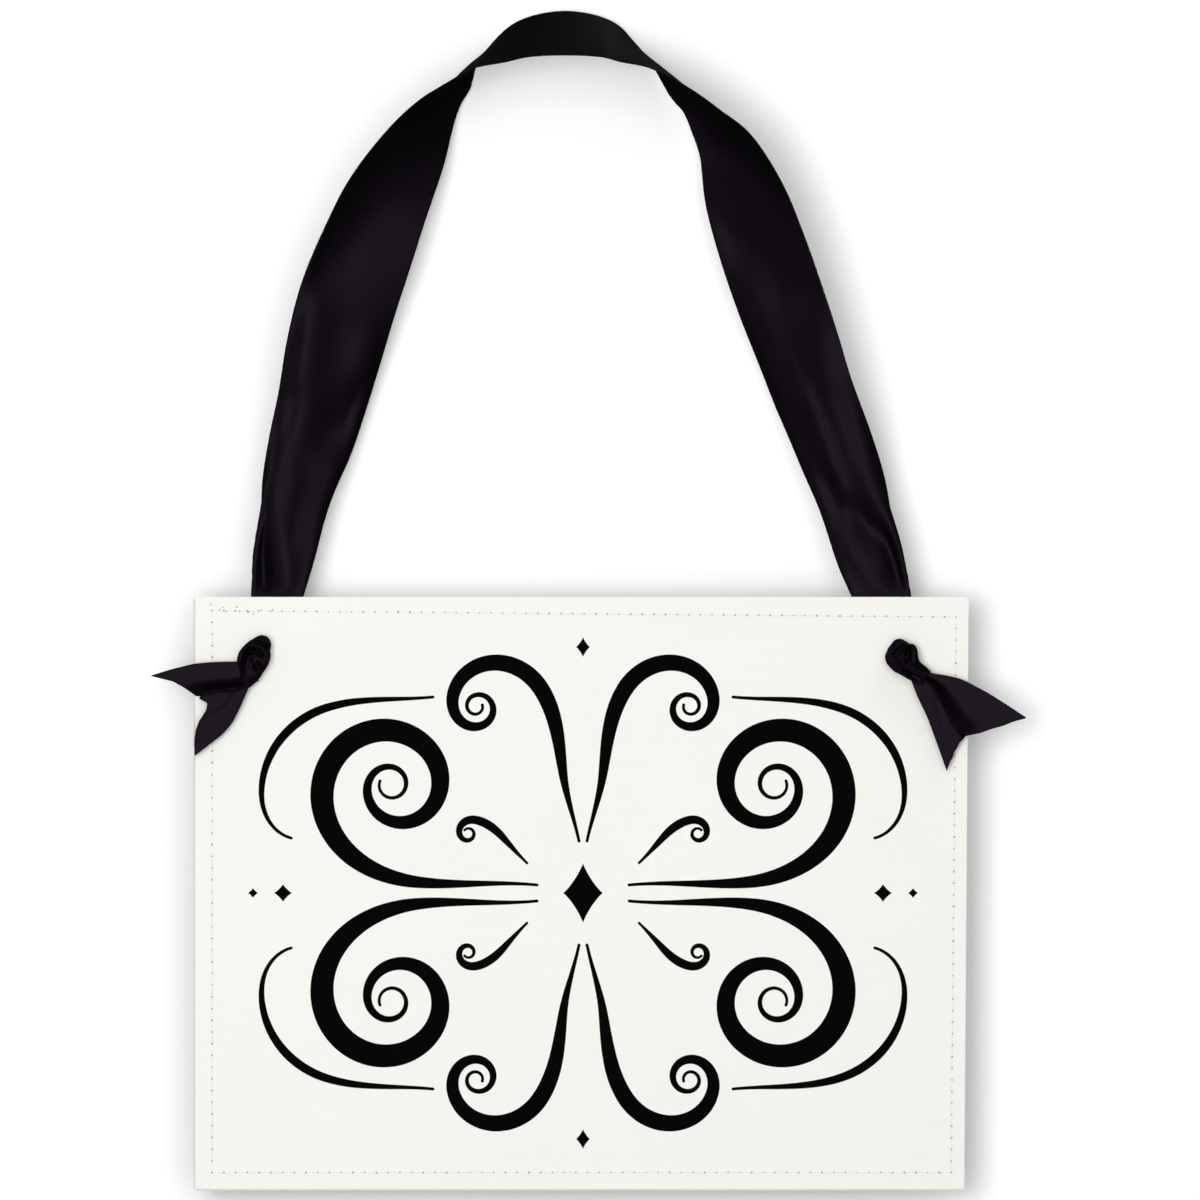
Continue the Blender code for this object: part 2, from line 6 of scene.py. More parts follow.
import bpy
import numpy as np
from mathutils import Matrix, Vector


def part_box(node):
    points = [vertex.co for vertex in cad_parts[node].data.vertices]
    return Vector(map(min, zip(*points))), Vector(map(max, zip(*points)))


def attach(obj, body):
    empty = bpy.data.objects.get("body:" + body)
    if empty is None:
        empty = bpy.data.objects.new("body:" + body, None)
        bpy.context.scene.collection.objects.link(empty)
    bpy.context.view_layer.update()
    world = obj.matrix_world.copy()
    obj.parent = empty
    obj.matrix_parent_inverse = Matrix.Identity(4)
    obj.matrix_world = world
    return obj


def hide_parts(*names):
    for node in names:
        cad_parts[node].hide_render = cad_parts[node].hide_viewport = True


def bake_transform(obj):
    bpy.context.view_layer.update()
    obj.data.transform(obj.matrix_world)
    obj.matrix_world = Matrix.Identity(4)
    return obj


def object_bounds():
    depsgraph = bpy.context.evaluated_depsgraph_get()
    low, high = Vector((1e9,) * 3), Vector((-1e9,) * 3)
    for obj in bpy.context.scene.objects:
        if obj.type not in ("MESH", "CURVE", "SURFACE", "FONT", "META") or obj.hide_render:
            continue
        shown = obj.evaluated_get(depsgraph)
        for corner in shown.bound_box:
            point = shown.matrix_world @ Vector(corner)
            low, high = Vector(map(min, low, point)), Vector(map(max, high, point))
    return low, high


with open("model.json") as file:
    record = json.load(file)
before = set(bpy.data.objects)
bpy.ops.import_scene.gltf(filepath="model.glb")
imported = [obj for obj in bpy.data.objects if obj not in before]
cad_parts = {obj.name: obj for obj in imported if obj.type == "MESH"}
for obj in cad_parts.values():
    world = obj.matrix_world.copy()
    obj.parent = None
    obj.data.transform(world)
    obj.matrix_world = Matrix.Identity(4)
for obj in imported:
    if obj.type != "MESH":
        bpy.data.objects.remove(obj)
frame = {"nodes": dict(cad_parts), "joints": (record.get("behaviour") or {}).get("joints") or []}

CAD_LOW, CAD_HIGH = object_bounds()
MM = 0.001

# Places taken from the frame
FRONT_LOW, FRONT_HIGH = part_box("front_card")
FRONT_Y = FRONT_LOW.y
BACK_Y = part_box("backing_card")[1].y
TOP_Z = FRONT_HIGH.z
BOTTOM_Z = FRONT_LOW.z
LEFT_X = FRONT_LOW.x
RIGHT_X = FRONT_HIGH.x
SWING = next(joint for joint in frame["joints"] if joint["name"] == "board_swing")
SWING_Y = SWING["pos_m"][1]
HOLE_Z = SWING["pos_m"][2]
HOLE_INSET = 25.0 * MM
HOLE_X = {"left": LEFT_X + HOLE_INSET, "right": RIGHT_X - HOLE_INSET}

# Photograph: metres to a pixel, and the point of the sign in the middle of the frame
IMAGE_SIZE = 1200
METRES_PER_PIXEL = 0.3605 * MM
FRAME_CENTRE = Vector((12.6 * MM, FRONT_Y, -209.1 * MM))
LENS = 400.0
SENSOR = 36.0
CLIP_NEAR = 0.05
CLIP_FAR = 20.0

# Light: the share that comes from all round, and each lamp's place, size, share and
# whether satin mirrors it
AMBIENT = 0.20
LAMPS = (
    ("key", (-0.42, -1.5, -0.18), 0.7, 0.355, False),
    ("fill", (0.0, -2.2, -0.1), 2.5, 0.64, True),
    ("top", (0.8, -0.45, 1.2), 0.8, 0.20, True),
    ("rear", (0.75, 0.9, 1.5), 1.0, 0.55, True),
    ("side", (-2.0, 0.3, 0.2), 1.2, 0.35, True),
)
WHITE = (1.0, 1.0, 1.0, 1.0)
WALL_COLOR = (0.95, 0.95, 0.95, 1.0)
WALL_GLOW = 0.14
WALL_GAP = 1.5 * MM
FLOOR_COLOR = (0.8, 0.8, 0.8, 1.0)
FLOOR_GLOW = 0.4
FLOOR_Z = -0.62
# The floor ends in front of the large lamp, whose back would leave it grey
FLOOR_FRONT = -2.1
STAGE_REACH = 2.5

# Ribbon
RIBBON_WIDTH = 38.0 * MM
CLOTH_THICKNESS = 0.32 * MM
FOLD_RADIUS = 1.9 * MM
# A fold that isn't closed flat is this much rounder, and a closed one turns this far
FOLD_OPENING = 3.5
FOLD_CLOSED = 165.0
# Where its feet lie behind the board, and how far the arch rises clear of its edge
FOOT_Y = BACK_Y + 1.3 * MM
FOOT_RISE = 0.3 * MM
# The mesh bends this far above and below the board's top edge
HALF_COLUMNS = 30
STEPS_PER_ROW = 8

# The bunch of narrow pleats behind the board, and how far above the hole it ends
BUNCH_ROWS = 22
BUNCH_WAVES = 4
BUNCH_SWING = math.radians(118.0)
BUNCH_DEPTH = 4.9 * MM
BUNCH_END = 0.92 * MM

# The arch of each side, from the board's top edge to the crown: share of the loop's
# height, share of the way in from the hole to the crown, twist in degrees, share of
# the width that lies between the two folds, how far the edges beyond the folds turn
# back and how far the front and the back half bow forward, in degrees.
LEFT_ARCH = (
    (0.000, 0.046, 0, 0.51, 165, 0, 0),
    (0.081, 0.075, 10, 0.61, 134, 0, 0),
    (0.168, 0.118, 15, 0.61, 94, 0, 0),
    (0.254, 0.170, 18, 0.62, 66, 0, 0),
    (0.340, 0.214, 20, 0.62, 50, 0, 0),
    (0.427, 0.246, 19, 0.62, 30, 4, 0),
    (0.513, 0.282, 19, 0.61, 12, 12, 2),
    (0.600, 0.332, 22, 0.58, 0, 22, 6),
    (0.688, 0.392, 31, 0.55, 0, 28, 14),
    (0.778, 0.474, 50, 0.52, 0, 24, 24),
    (0.838, 0.542, 71, 0.50, 0, 9, 32),
    (0.874, 0.594, 84, 0.50, 0, 4, 37),
    (0.898, 0.638, 90, 0.50, 0, 4, 38),
    (0.911, 0.662, 93, 0.50, 0, 5, 34),
    (0.929, 0.705, 98, 0.50, 0, 5, 20),
    (0.950, 0.785, 107, 0.50, 0, 4, 8),
    (0.969, 0.876, 114, 0.50, 0, 1, 2),
)
RIGHT_ARCH = (
    (0.000, 0.052, 0, 0.58, 165, 0, 0),
    (0.081, 0.096, 9, 0.65, 126, 0, 0),
    (0.168, 0.153, 18, 0.62, 94, 6, 0),
    (0.254, 0.217, 26, 0.63, 72, 10, 0),
    (0.340, 0.273, 32, 0.63, 55, 14, 4),
    (0.427, 0.316, 32, 0.63, 40, 18, 6),
    (0.513, 0.356, 31, 0.61, 20, 22, 8),
    (0.600, 0.398, 31, 0.58, 6, 24, 10),
    (0.688, 0.443, 37, 0.55, 0, 24, 14),
    (0.773, 0.495, 58, 0.52, 0, 14, 21),
    (0.828, 0.557, 77, 0.50, 0, 5, 30),
    (0.861, 0.599, 86, 0.50, 0, 3, 35),
    (0.885, 0.644, 90, 0.50, 0, 3, 37),
    (0.903, 0.680, 93, 0.50, 0, 4, 32),
    (0.929, 0.743, 99, 0.50, 0, 4, 18),
    (0.950, 0.815, 107, 0.50, 0, 4, 8),
    (0.969, 0.889, 114, 0.50, 0, 1, 2),
)
CROWN = (0.976, 1.000, 117, 0.50, 0, 0, 0)
LOOP_HEIGHT = -TOP_Z

# Folds and hollows in the ribbon's face, in millimetres and in the photograph's pixels:
# height, reach to the left and to the right of the line, and the line itself.
LOOP_FOLDS = (
    (-5, 9, 9, (256, 500), (261, 550), (265, 604)),
    (1, 6, 10, (283, 505), (285, 560), (287, 604)),
    (0.9, 7, 9, (291, 470), (293, 500)),
    (1, 7, 9, (292, 560), (291, 585)),
    (-3.3, 18, 22, (362, 400), (336, 434)),
    (-1.9, 12, 16, (288, 400), (284, 425)),
    (2.2, 22, 20, (308, 320), (298, 366)),
    (1.4, 18, 18, (366, 352), (362, 384)),
    (-2, 24, 20, (372, 214), (326, 268)),
    (1.8, 7, 15, (804, 385), (826, 440), (842, 492)),
    (-1.4, 9, 12, (846, 402), (866, 452)),
    (-2.6, 10, 10, (826, 478), (838, 508)),
    (-4, 12, 10, (858, 516), (872, 536)),
    (-4.2, 8, 10, (886, 540), (899, 574), (912, 604)),
    (1.3, 12, 9, (850, 548), (868, 574), (884, 604)),
    (-2, 18, 24, (742, 240), (790, 292)),
    (1.4, 20, 20, (752, 300), (776, 360)),
)

# Folds fade over this many pixels at the board's top edge and over this many columns at a
# turned edge. They begin where the cloth faces the viewer by a share, and are whole a
# span further on.
FOLD_FADE_PX = 9.0
EDGE_FADE_COLUMNS = 9.0
FACING_FROM = 0.3
FACING_SPAN = 0.4
CREASE_SMOOTHING = 3

# Knots: each outline from the front, and the line along its middle, as the photograph's
# pixels and the cloth's height over that line in millimetres. Ridges and hollows are
# written as the ribbon's folds are.
KNOTS = {
    "left": {
        "outline": (
            (237.2, 661.5), (237.6, 657), (239.6, 651.5), (243.6, 646.3), (249, 641.4), (254, 638.3),
            (258, 636.2), (262.5, 635.0), (267.5, 636.8), (270.5, 640.8), (271.4, 645), (270.4, 649.5),
            (270.9, 655), (269.6, 662), (266.6, 668), (263.1, 673), (260, 678), (256, 682.3),
            (251.5, 686.2), (247.6, 688.0), (243.5, 685.5), (241, 681), (240.4, 676), (239.8, 670),
            (238.3, 665.5),
        ),
        "middle": ((261, 643, 6.0), (256, 650, 6.6), (252.5, 662, 6.9), (250, 674, 6.3), (248.5, 680, 5.6)),
        "folds": (
            (-1.35, 1.6, 2.0, (255.5, 642.0), (262, 643.6), (266, 646.6), (269, 650.6)),
            (0.47, 1.6, 1.4, (257.5, 638.6), (264, 639.0), (268.8, 643.4)),
            (0.68, 1.8, 2.2, (240.6, 660), (241.8, 652.5), (247, 646.2), (254, 644.2), (261.5, 646.0),
             (265.6, 651.5), (265.6, 659), (263.4, 666), (259.5, 673)),
            (-2.61, 3.0, 3.4, (249, 651.6), (255, 651.2), (260, 653.4)),
            (-2.07, 1.9, 1.7, (246, 652), (244.2, 660), (242.9, 668), (242.6, 674.5)),
            (0.47, 1.5, 1.5, (250.3, 658), (248.6, 665), (247.2, 671.5)),
            (-1.71, 1.3, 1.5, (252.6, 658.5), (254, 664), (256.2, 669.5)),
            (0.61, 1.1, 1.2, (255.0, 662.5), (257, 668), (259.2, 673.5)),
            (-1.17, 1.1, 1.3, (259, 662), (260.8, 667.5), (261.6, 671.5)),
            (0.74, 3.2, 3.2, (245.4, 678.6), (249, 676.4)),
            (-1.17, 1.2, 1.4, (250.5, 683.2), (255, 680.6), (258.2, 677.4)),
        ),
    },
    "right": {
        "outline": (
            (899.4, 638.8), (903, 639.8), (906.7, 641.8), (909.4, 643.6), (912.2, 643.6), (915.6, 646.4),
            (917.4, 651), (917.8, 655.6), (918.9, 660), (921.4, 663.2), (925.6, 666.4), (928.9, 669.6),
            (930.4, 671.6), (928.4, 674), (926.3, 677.4), (924.4, 682), (922.0, 686.0), (917.8, 684.8),
            (913.3, 682.2), (909.6, 680.0), (905.6, 677.8), (901.1, 675.2), (897.4, 673.2), (894.4, 671.8),
            (891.1, 668.9), (887.2, 664.4), (885.2, 660.0), (884.9, 656.1), (886.5, 651.1), (889.2, 646.1),
            (893.0, 641.9), (896.5, 639.4),
        ),
        "middle": ((900, 648, 6.8), (899, 658, 7.0), (905, 667, 6.5), (914, 673, 5.8), (921, 676.5, 5.2)),
        "folds": (
            (-1.44, 2.2, 3.0, (903.5, 646.6), (898, 651.4), (893.6, 657.4)),
            (0.54, 1.8, 2.2, (896.5, 646.2), (891.4, 652.4)),
            (0.41, 2.4, 2.4, (893, 662.5), (891.4, 658.5)),
            (-0.90, 1.6, 2.2, (896.6, 660.5), (899.3, 666.5), (903.5, 670.6)),
            (1.01, 1.3, 1.2, (906.9, 645.6), (903.4, 649.2), (900.9, 654.4), (900.4, 660),
             (902.2, 664.4), (906.5, 666.2), (911.5, 667.0), (916.6, 669.8), (921.2, 673.4),
             (924.2, 677.8), (923.6, 682.4)),
            (-2.88, 2.6, 2.9, (908.6, 648.5), (906.8, 655), (907.4, 661.4)),
            (0.54, 1.4, 1.6, (911.2, 645.8), (914.2, 650.5), (914.6, 656.5), (915.6, 661.0)),
            (-1.62, 1.5, 1.8, (915.5, 664.6), (920, 667.2), (925, 670.4)),
            (-2.07, 1.6, 1.9, (903.6, 670.8), (909, 674.0), (915, 676.6), (919.4, 679.6)),
            (0.68, 1.3, 1.5, (906.5, 676.6), (912.5, 679.6), (918.6, 683.4)),
        ),
    },
}
KNOT_SAMPLES = 200
KNOT_RINGS = 34
# Heights in front of the card of a knot's widest part and of its flattened back. The
# smaller its fullness, the flatter is its front, and its relief grows over this many
# radians from the widest part on.
KNOT_EQUATOR = 3.0 * MM
KNOT_REST = 0.3 * MM
KNOT_FULLNESS = 0.55
KNOT_RELIEF_TURN = 0.9
KNOT_VOXEL = 0.17 * MM
KNOT_SMOOTHING = 2

# A knot's neck: the share of the way to its hole at its second ring, its depths in the
# hole, its size at each ring, and how far it ends beyond the line of the board's swing
NECK_RADIUS = 2.3 * MM
NECK_SIDES = 40
NECK_PLEATS = 6
NECK_PLEAT_DEPTH = 0.12
NECK_LEAN = 0.6
NECK_DEPTHS = (0.0, 1.2, 2.4, 3.6, 4.8)
NECK_SIZES = (1.0, 1.0, 1.0, 1.0, 1.02, 1.05, 0.98, 0.6)
NECK_END = 1.61 * MM

# Loose ends, in the photograph's pixels: both side edges from the knot to their tips,
# and the cut edge from the upper tip over the notch to the lower tip.
TAILS = {
    "left": {
        "upper": ((246, 660), (236, 661.5), (224, 661.6), (211, 662), (193.6, 663.7), (172, 669),
                  (150, 675.8)),
        "lower": ((250, 680), (248.7, 688.4), (240.7, 706.8), (232.7, 722.8), (223.5, 733.8), (212.6, 742.4),
                  (194.8, 756.1)),
        "upper_cut": ((150, 675.8), (173, 681.5), (184.4, 687.8), (200.5, 699.3), (207.4, 702.8)),
        "lower_cut": ((207.4, 702.8), (206.3, 710.2), (199.4, 720.6), (195.9, 729.7), (194.4, 741.2),
                      (194.8, 756.1)),
        "length": 33.5 * MM,
        "notch_length": 15.9 * MM,
        "crease": (0.12, 0.48, 0.60),
        "folds": ((-0.35, 2.2, 4.5, (226, 702), (213, 711)),),
    },
    "right": {
        "upper": ((917, 668), (930.2, 672.7), (949.3, 675.9), (959.5, 678.4), (968.4, 682.3), (987.6, 692.5),
                  (1006.7, 704.6), (1027.1, 718)),
        "lower": ((910, 677), (911.7, 682.9), (916.1, 694.4), (927.6, 718.6), (936.5, 742.9), (946.7, 771.6)),
        "upper_cut": ((1027.1, 718), (1013, 721.8), (1004, 725.6), (990, 729.5), (979.9, 733.3),
                      (965.2, 736.2)),
        "lower_cut": ((965.2, 736.2), (963.0, 739.6), (958.9, 743.1), (957.0, 747.6), (953.8, 752.2),
                      (952.9, 757.0), (949.9, 761.6), (946.7, 771.6)),
        "length": 38.0 * MM,
        "notch_length": 27.0 * MM,
        "crease": (0.80, 0.50, 0.50),
        "folds": ((-0.3, 3.0, 5.0, (936, 702), (943, 724)),),
    },
}
TAIL_COLUMNS = 72
TAIL_ROWS = 30
# The pleat: how tightly it turns, the share of its lobe that it may hide, and the hidden
# width from which it is folded flat
PLEAT_RADIUS = 1.0 * MM
PLEAT_LIMIT = 0.85
PLEAT_FLAT = 3.0 * MM
# Heights of the cloth in front of the card: at the knot, at the tips and in a lobe's middle
TAIL_ROOT_LIFT = 3.9 * MM
TAIL_TIP_LIFT = 3.2 * MM
TAIL_LOBE_RISE = 0.5 * MM
# Share of the far lobe's width over which it rises from under the pleat, and how far up
VALLEY_SHARE = 0.36
VALLEY_RISE = 0.9

# Card: painted shade along its left and bottom edges: how far in it reaches, and its grey
EDGE_SHADE_WIDTH = 0.75 * MM
EDGE_SHADE_COLOR = (0.66, 0.65, 0.61, 1.0)

# Seam: its corners as (x, z), clockwise from the top left, and how far the trimmed right
# edge has slanted in at its lower end
TRIM_SLANT = 1.6 * MM
SEAM_CORNERS = (
    (LEFT_X + 6.7 * MM, TOP_Z - 4.9 * MM),
    (RIGHT_X - 4.5 * MM, TOP_Z - 7.2 * MM),
    (RIGHT_X - TRIM_SLANT - 4.7 * MM, BOTTOM_Z + 6.5 * MM),
    (LEFT_X + 6.7 * MM, BOTTOM_Z + 6.5 * MM),
)
STITCH_PITCH = 4.2 * MM
STITCH_RINGS = 9
STITCH_SEED = 7
# Each stitch strays sideways by up to its wander, begins and ends a share of its length
# within its holes, and rises steeply by so many thread radii from a dip of so many
STITCH_WANDER = 0.06 * MM
STITCH_END = 0.04
STITCH_STEEPNESS = 2.2
STITCH_RISE = 1.75
STITCH_DIP = 0.85
# The thread is flattened, and twists this many times in a stitch
THREAD_RADIUS = 0.1 * MM
THREAD_SIDES = 8
THREAD_WIDTH = 1.15
THREAD_HEIGHT = 0.8
THREAD_TURNS = 1.5
HOLE_RADIUS = 0.32 * MM
HOLE_SIZES = (0.8, 1.2)
HOLE_SIDES = 8
HOLE_SEED = 11

# Printed ornament, in the photograph's pixels from its middle. A stroke is its start,
# its heading in degrees, its pieces as (length, bend at the start, bend at the end), its
# least and greatest width and where it is widest. A lozenge is its place, half its width
# and half its height.
ORNAMENT_MIDDLE = (583.0, 893.0)
STROKES = (
    ((46, 8), 6.0, ((120, -0.004, 0.004), (130, 0.006, 0.014), (160, 0.014, 0.018), (150, 0.019, 0.032),
                      (110, 0.036, 0.085)), 3.0, 24.0, 0.45),
    ((4, 52), 78.0, ((70, -0.004, 0.006), (90, 0.002, -0.012), (110, -0.016, -0.026), (100, -0.03, -0.075),
                     (40, -0.08, -0.15)), 3.0, 17.0, 0.42),
    ((150, 196), -6.0, ((110, 0.004, -0.008), (110, -0.010, -0.012), (60, -0.014, -0.03)), 3.0, 9.0, 0.5),
    ((56, 30), 44.0, ((34, 0.004, 0.0), (34, -0.006, -0.03), (34, -0.05, -0.12), (26, -0.13, -0.2)),
     2.6, 9.0, 0.45),
)
LOZENGES = ((0, 0, 20, 30), (0, 246, 7, 10), (300, 0, 9, 9), (330, 0, 5, 5))
LOZENGE_SIDES = 16
LOZENGE_POWER = 2.4
PEN_STEP = 2.0
PEN_SWELL = 1.6
INK_DEPTH = 0.02 * MM
INK_RISE = 0.015 * MM
INK_STEP = 0.003 * MM

# Where the seam was started and sewn over again, in the photograph's pixels
START_HOLES = (
    (210.8, 604.6), (223.5, 607.5), (236.7, 607.0), (219.5, 610.0), (226.3, 611.0), (239.5, 611.0),
    (248.2, 612.0), (253.6, 614.0), (261.4, 610.3), (272.6, 610.0),
)

# Plain materials: roughness, shine, how fine and how detailed the grain is, its dark and
# its light colour, and how strongly it is raised
PLAIN_LOOKS = {
    "thread": (0.7, 0.2, 6000.0, 3.0, (0.87, 0.85, 0.79, 1.0), (0.93, 0.915, 0.87, 1.0), 0.3),
    # The needle holes' colour is painted shade: the dark that falls inside the punctures
    "needle_hole_shade": (0.9, 0.05, 5000.0, 2.0, (0.30, 0.25, 0.17, 1.0), (0.50, 0.43, 0.31, 1.0), 0.0),
    "black_ink": (0.8, 0.02, 900.0, 3.0, (0.0012, 0.0012, 0.0012, 1.0), (0.0022, 0.0022, 0.0022, 1.0), 0.0),
}
# How deep the weave of threads and cloth is raised, and the card's
FINE_BUMP = 0.05 * MM
CARD_BUMP = 0.1 * MM


def add_object(name, data):
    """Add an object to the scene."""
    made = bpy.data.objects.new(name, data)
    bpy.context.scene.collection.objects.link(made)
    return made


def spot(px, py, forward=0.0):
    """Return the point that a pixel of the photograph shows, this far in front of the board."""
    x = FRAME_CENTRE.x + (px - IMAGE_SIZE / 2) * METRES_PER_PIXEL
    z = FRAME_CENTRE.z - (py - IMAGE_SIZE / 2) * METRES_PER_PIXEL
    return Vector((x, FRONT_Y - forward, z))


def pixel(point):
    """Return the place of the photograph that shows a point."""
    away = IMAGE_SIZE * METRES_PER_PIXEL * LENS / SENSOR
    nearer = away / (away + point.y - FRONT_Y) / METRES_PER_PIXEL
    px = IMAGE_SIZE / 2 + (point.x - FRAME_CENTRE.x) * nearer
    py = IMAGE_SIZE / 2 - (point.z - FRAME_CENTRE.z) * nearer
    return px, py


def nearest_on(line, place):
    """Return how far a line passes from a pixel, the pixel's side of it, and the nearest point."""
    nearest = None
    for start, end in zip(line, line[1:]):
        run = [b - a for a, b in zip(start, end)]
        right, down = place[0] - start[0], place[1] - start[1]
        share = (right * run[0] + down * run[1]) / (run[0] ** 2 + run[1] ** 2)
        share = min(1.0, max(0.0, share))
        gap = math.hypot(right - run[0] * share, down - run[1] * share)
        if nearest is None or gap < nearest[0]:
            side = run[0] * down - run[1] * right
            nearest = (gap, side, [a + step * share for a, step in zip(start, run)])
    return nearest


def fold_height(place, folds):
    """Return how far folds lift the cloth at a pixel.

    Each fold is its height, how far it reaches to the left and to the right of its
    line, going along it, and the line's points.
    """
    height = 0.0
    for lift, left_reach, right_reach, *line in folds:
        gap, side, _ = nearest_on(line, place)
        height += lift * math.exp(-((gap / (left_reach if side < 0.0 else right_reach)) ** 2))
    return height * MM


def smoothstep(value):
    """Ease from 0 to 1."""
    value = min(1.0, max(0.0, value))
    return value * value * (3.0 - 2.0 * value)


def smooth_path(rows, steps):
    """Read a smooth curve through rows of numbers, a few steps from each to the next."""
    first = [2 * a - b for a, b in zip(rows[0], rows[1])]
    last = [2 * a - b for a, b in zip(rows[-1], rows[-2])]
    padded = [first, *rows, last]
    path = []
    for i in range(1, len(rows)):
        before, start, end, after = padded[i - 1 : i + 3]
        for step in range(steps):
            t = step / steps
            path.append([
                0.5 * (2 * b + (c - a) * t + (2 * a - 5 * b + 4 * c - d) * t**2
                       + (3 * b - a - 3 * c + d) * t**3)
                for a, b, c, d in zip(before, start, end, after)
            ])
    path.append(list(rows[-1]))
    return path


# Materials


class Nodes:
    """The node tree of a material, a world or a lamp, with short ways to add to it."""

    def __init__(self, owner):
        owner.use_nodes = True
        self.owner = owner
        self.tree = owner.node_tree
        self.link = self.tree.links.new
        self.shader = self.tree.nodes.get("Principled BSDF")

    def node(self, kind, *sources, **values):
        """Add a node, with its first sockets linked or set in order and others set by name."""
        made = self.tree.nodes.new(kind)
        for source, socket in zip(sources, made.inputs):
            if isinstance(source, float):
                socket.default_value = source
            else:
                self.link(source, socket)
        for name, value in values.items():
            if hasattr(made, name):
                setattr(made, name, value)
            else:
                made.inputs[name.replace("_", " ")].default_value = value
        return made

    def read(self, kind, name):
        """Add a node that only reads something, and return one of its outputs."""
        return self.node(kind).outputs[name]

    def noise(self, kind, scale, detail):
        """Return a noise over the coordinates of the object or the UV map, times a scale."""
        place = self.node("ShaderNodeMapping", self.read("ShaderNodeTexCoord", kind), Scale=scale)
        made = self.node("ShaderNodeTexNoise", place.outputs["Vector"], Scale=1.0, Detail=detail)
        return made.outputs["Fac"]

    def ramp(self, value, edge, dark, light):
        """Return a colour that turns from dark to light as a value goes from an edge to 1 less it."""
        made = self.node("ShaderNodeValToRGB", value)
        low, high = made.color_ramp.elements
        low.position, high.position = edge, 1.0 - edge
        low.color, high.color = dark, light
        return made.outputs["Color"]

    def math(self, operation, first, second):
        """Return a sum over a socket and a second socket or number."""
        return self.node("ShaderNodeMath", first, second, operation=operation).outputs["Value"]

    def mix(self, first, second, share):
        """Mix two values by a share and return the result."""
        made = self.node("ShaderNodeMix", Factor=share)
        self.link(first, made.inputs["A"])
        self.link(second, made.inputs["B"])
        return made.outputs["Result"]

    def bump(self, height, strength, distance):
        """Raise the surface by a height."""
        made = self.node("ShaderNodeBump", Strength=strength, Distance=distance)
        self.link(height, made.inputs["Height"])
        self.link(made.outputs["Normal"], self.shader.inputs["Normal"])

    def show(self, share, first, second, kind):
        """Show the first shader where a share is 0 and the second where it is 1."""
        choice = self.node("ShaderNodeMixShader", share, first, second)
        self.node(kind, choice.outputs["Shader"])


def surface(name, **values):
    """Start a material with these values on its shader's sockets."""
    made = Nodes(bpy.data.materials.new(name))
    for socket, value in values.items():
        made.shader.inputs[socket.replace("_", " ")].default_value = value
    return made


def plain_material(name):
    """Return a dull material with a fine grain."""
    roughness, specular, scale, detail, dark, light, raised = PLAIN_LOOKS[name]
    made = surface(name, Roughness=roughness, Specular_IOR_Level=specular)
    grain = made.noise("Object", (scale, scale, scale), detail)
    made.link(made.ramp(grain, 0.3, dark, light), made.shader.inputs["Base Color"])
    if raised:
        made.bump(grain, raised, FINE_BUMP)
    return made.owner


def card_material(name, light, dark, laid, painted_edge_shade):
    """Return heavy card: fibres, faint laid lines, an uneven tone and perhaps painted shade along two edges.
    """
    made = surface(name, Roughness=0.72, Specular_IOR_Level=0.2)
    fibres = made.noise("Object", (500.0, 500.0, 2200.0), 4.0)
    lines = made.noise("Object", (25.0, 25.0, 900.0), 2.0)
    cloud = made.noise("Object", (16.0, 16.0, 16.0), 3.0)
    weave = made.mix(fibres, lines, laid)
    color = made.ramp(made.mix(cloud, weave, 0.6), 0.35, dark, light)
    if painted_edge_shade:
        # Painted shade: a thin grey band along the left and bottom edges stands in for the shade on the cut
        # edges
        axes = made.node("ShaderNodeSeparateXYZ", made.read("ShaderNodeTexCoord", "Object"))
        edge_shade_masks = []
        for axis, edge in (("X", LEFT_X), ("Z", BOTTOM_Z)):
            near = made.node("ShaderNodeMapRange", axes.outputs[axis], interpolation_type="SMOOTHSTEP")
            near.inputs["From Min"].default_value = edge + EDGE_SHADE_WIDTH
            near.inputs["From Max"].default_value = edge + EDGE_SHADE_WIDTH / 2
            edge_shade_masks.append(near.outputs["Result"])
        edge_shaded = made.node("ShaderNodeMix", made.math("MAXIMUM", *edge_shade_masks), data_type="RGBA")
        made.link(color, edge_shaded.inputs[6])
        edge_shaded.inputs[7].default_value = EDGE_SHADE_COLOR
        color = edge_shaded.outputs[2]
    made.link(color, made.shader.inputs["Base Color"])
    made.bump(weave, 0.12, CARD_BUMP)
    return made.owner


def satin_material(name, kind, floats_scale, cloud_scale):
    """Return near-black satin: long floats that catch the light along the ribbon."""
    # Woven threads mirror as dark metal does, without the white rim of a polished plastic
    made = surface(name, Metallic=0.85, Specular_IOR_Level=0.05, Specular_Tint=(0.10, 0.08, 0.11, 1.0))
    floats = made.noise(kind, floats_scale, 2.0)
    tone = made.mix(floats, made.noise(kind, cloud_scale, 3.0), 0.5)
    looks = {
        "Base Color": ((0.0115, 0.0085, 0.0126, 1.0), (0.0152, 0.0111, 0.0166, 1.0)),
        "Roughness": ((0.46, 0.46, 0.46, 1.0), (0.54, 0.54, 0.54, 1.0)),
    }
    for socket, (dark, light) in looks.items():
        made.link(made.ramp(tone, 0.3, dark, light), made.shader.inputs[socket])
    made.bump(floats, 0.12, FINE_BUMP)
    return made.owner


# Stage


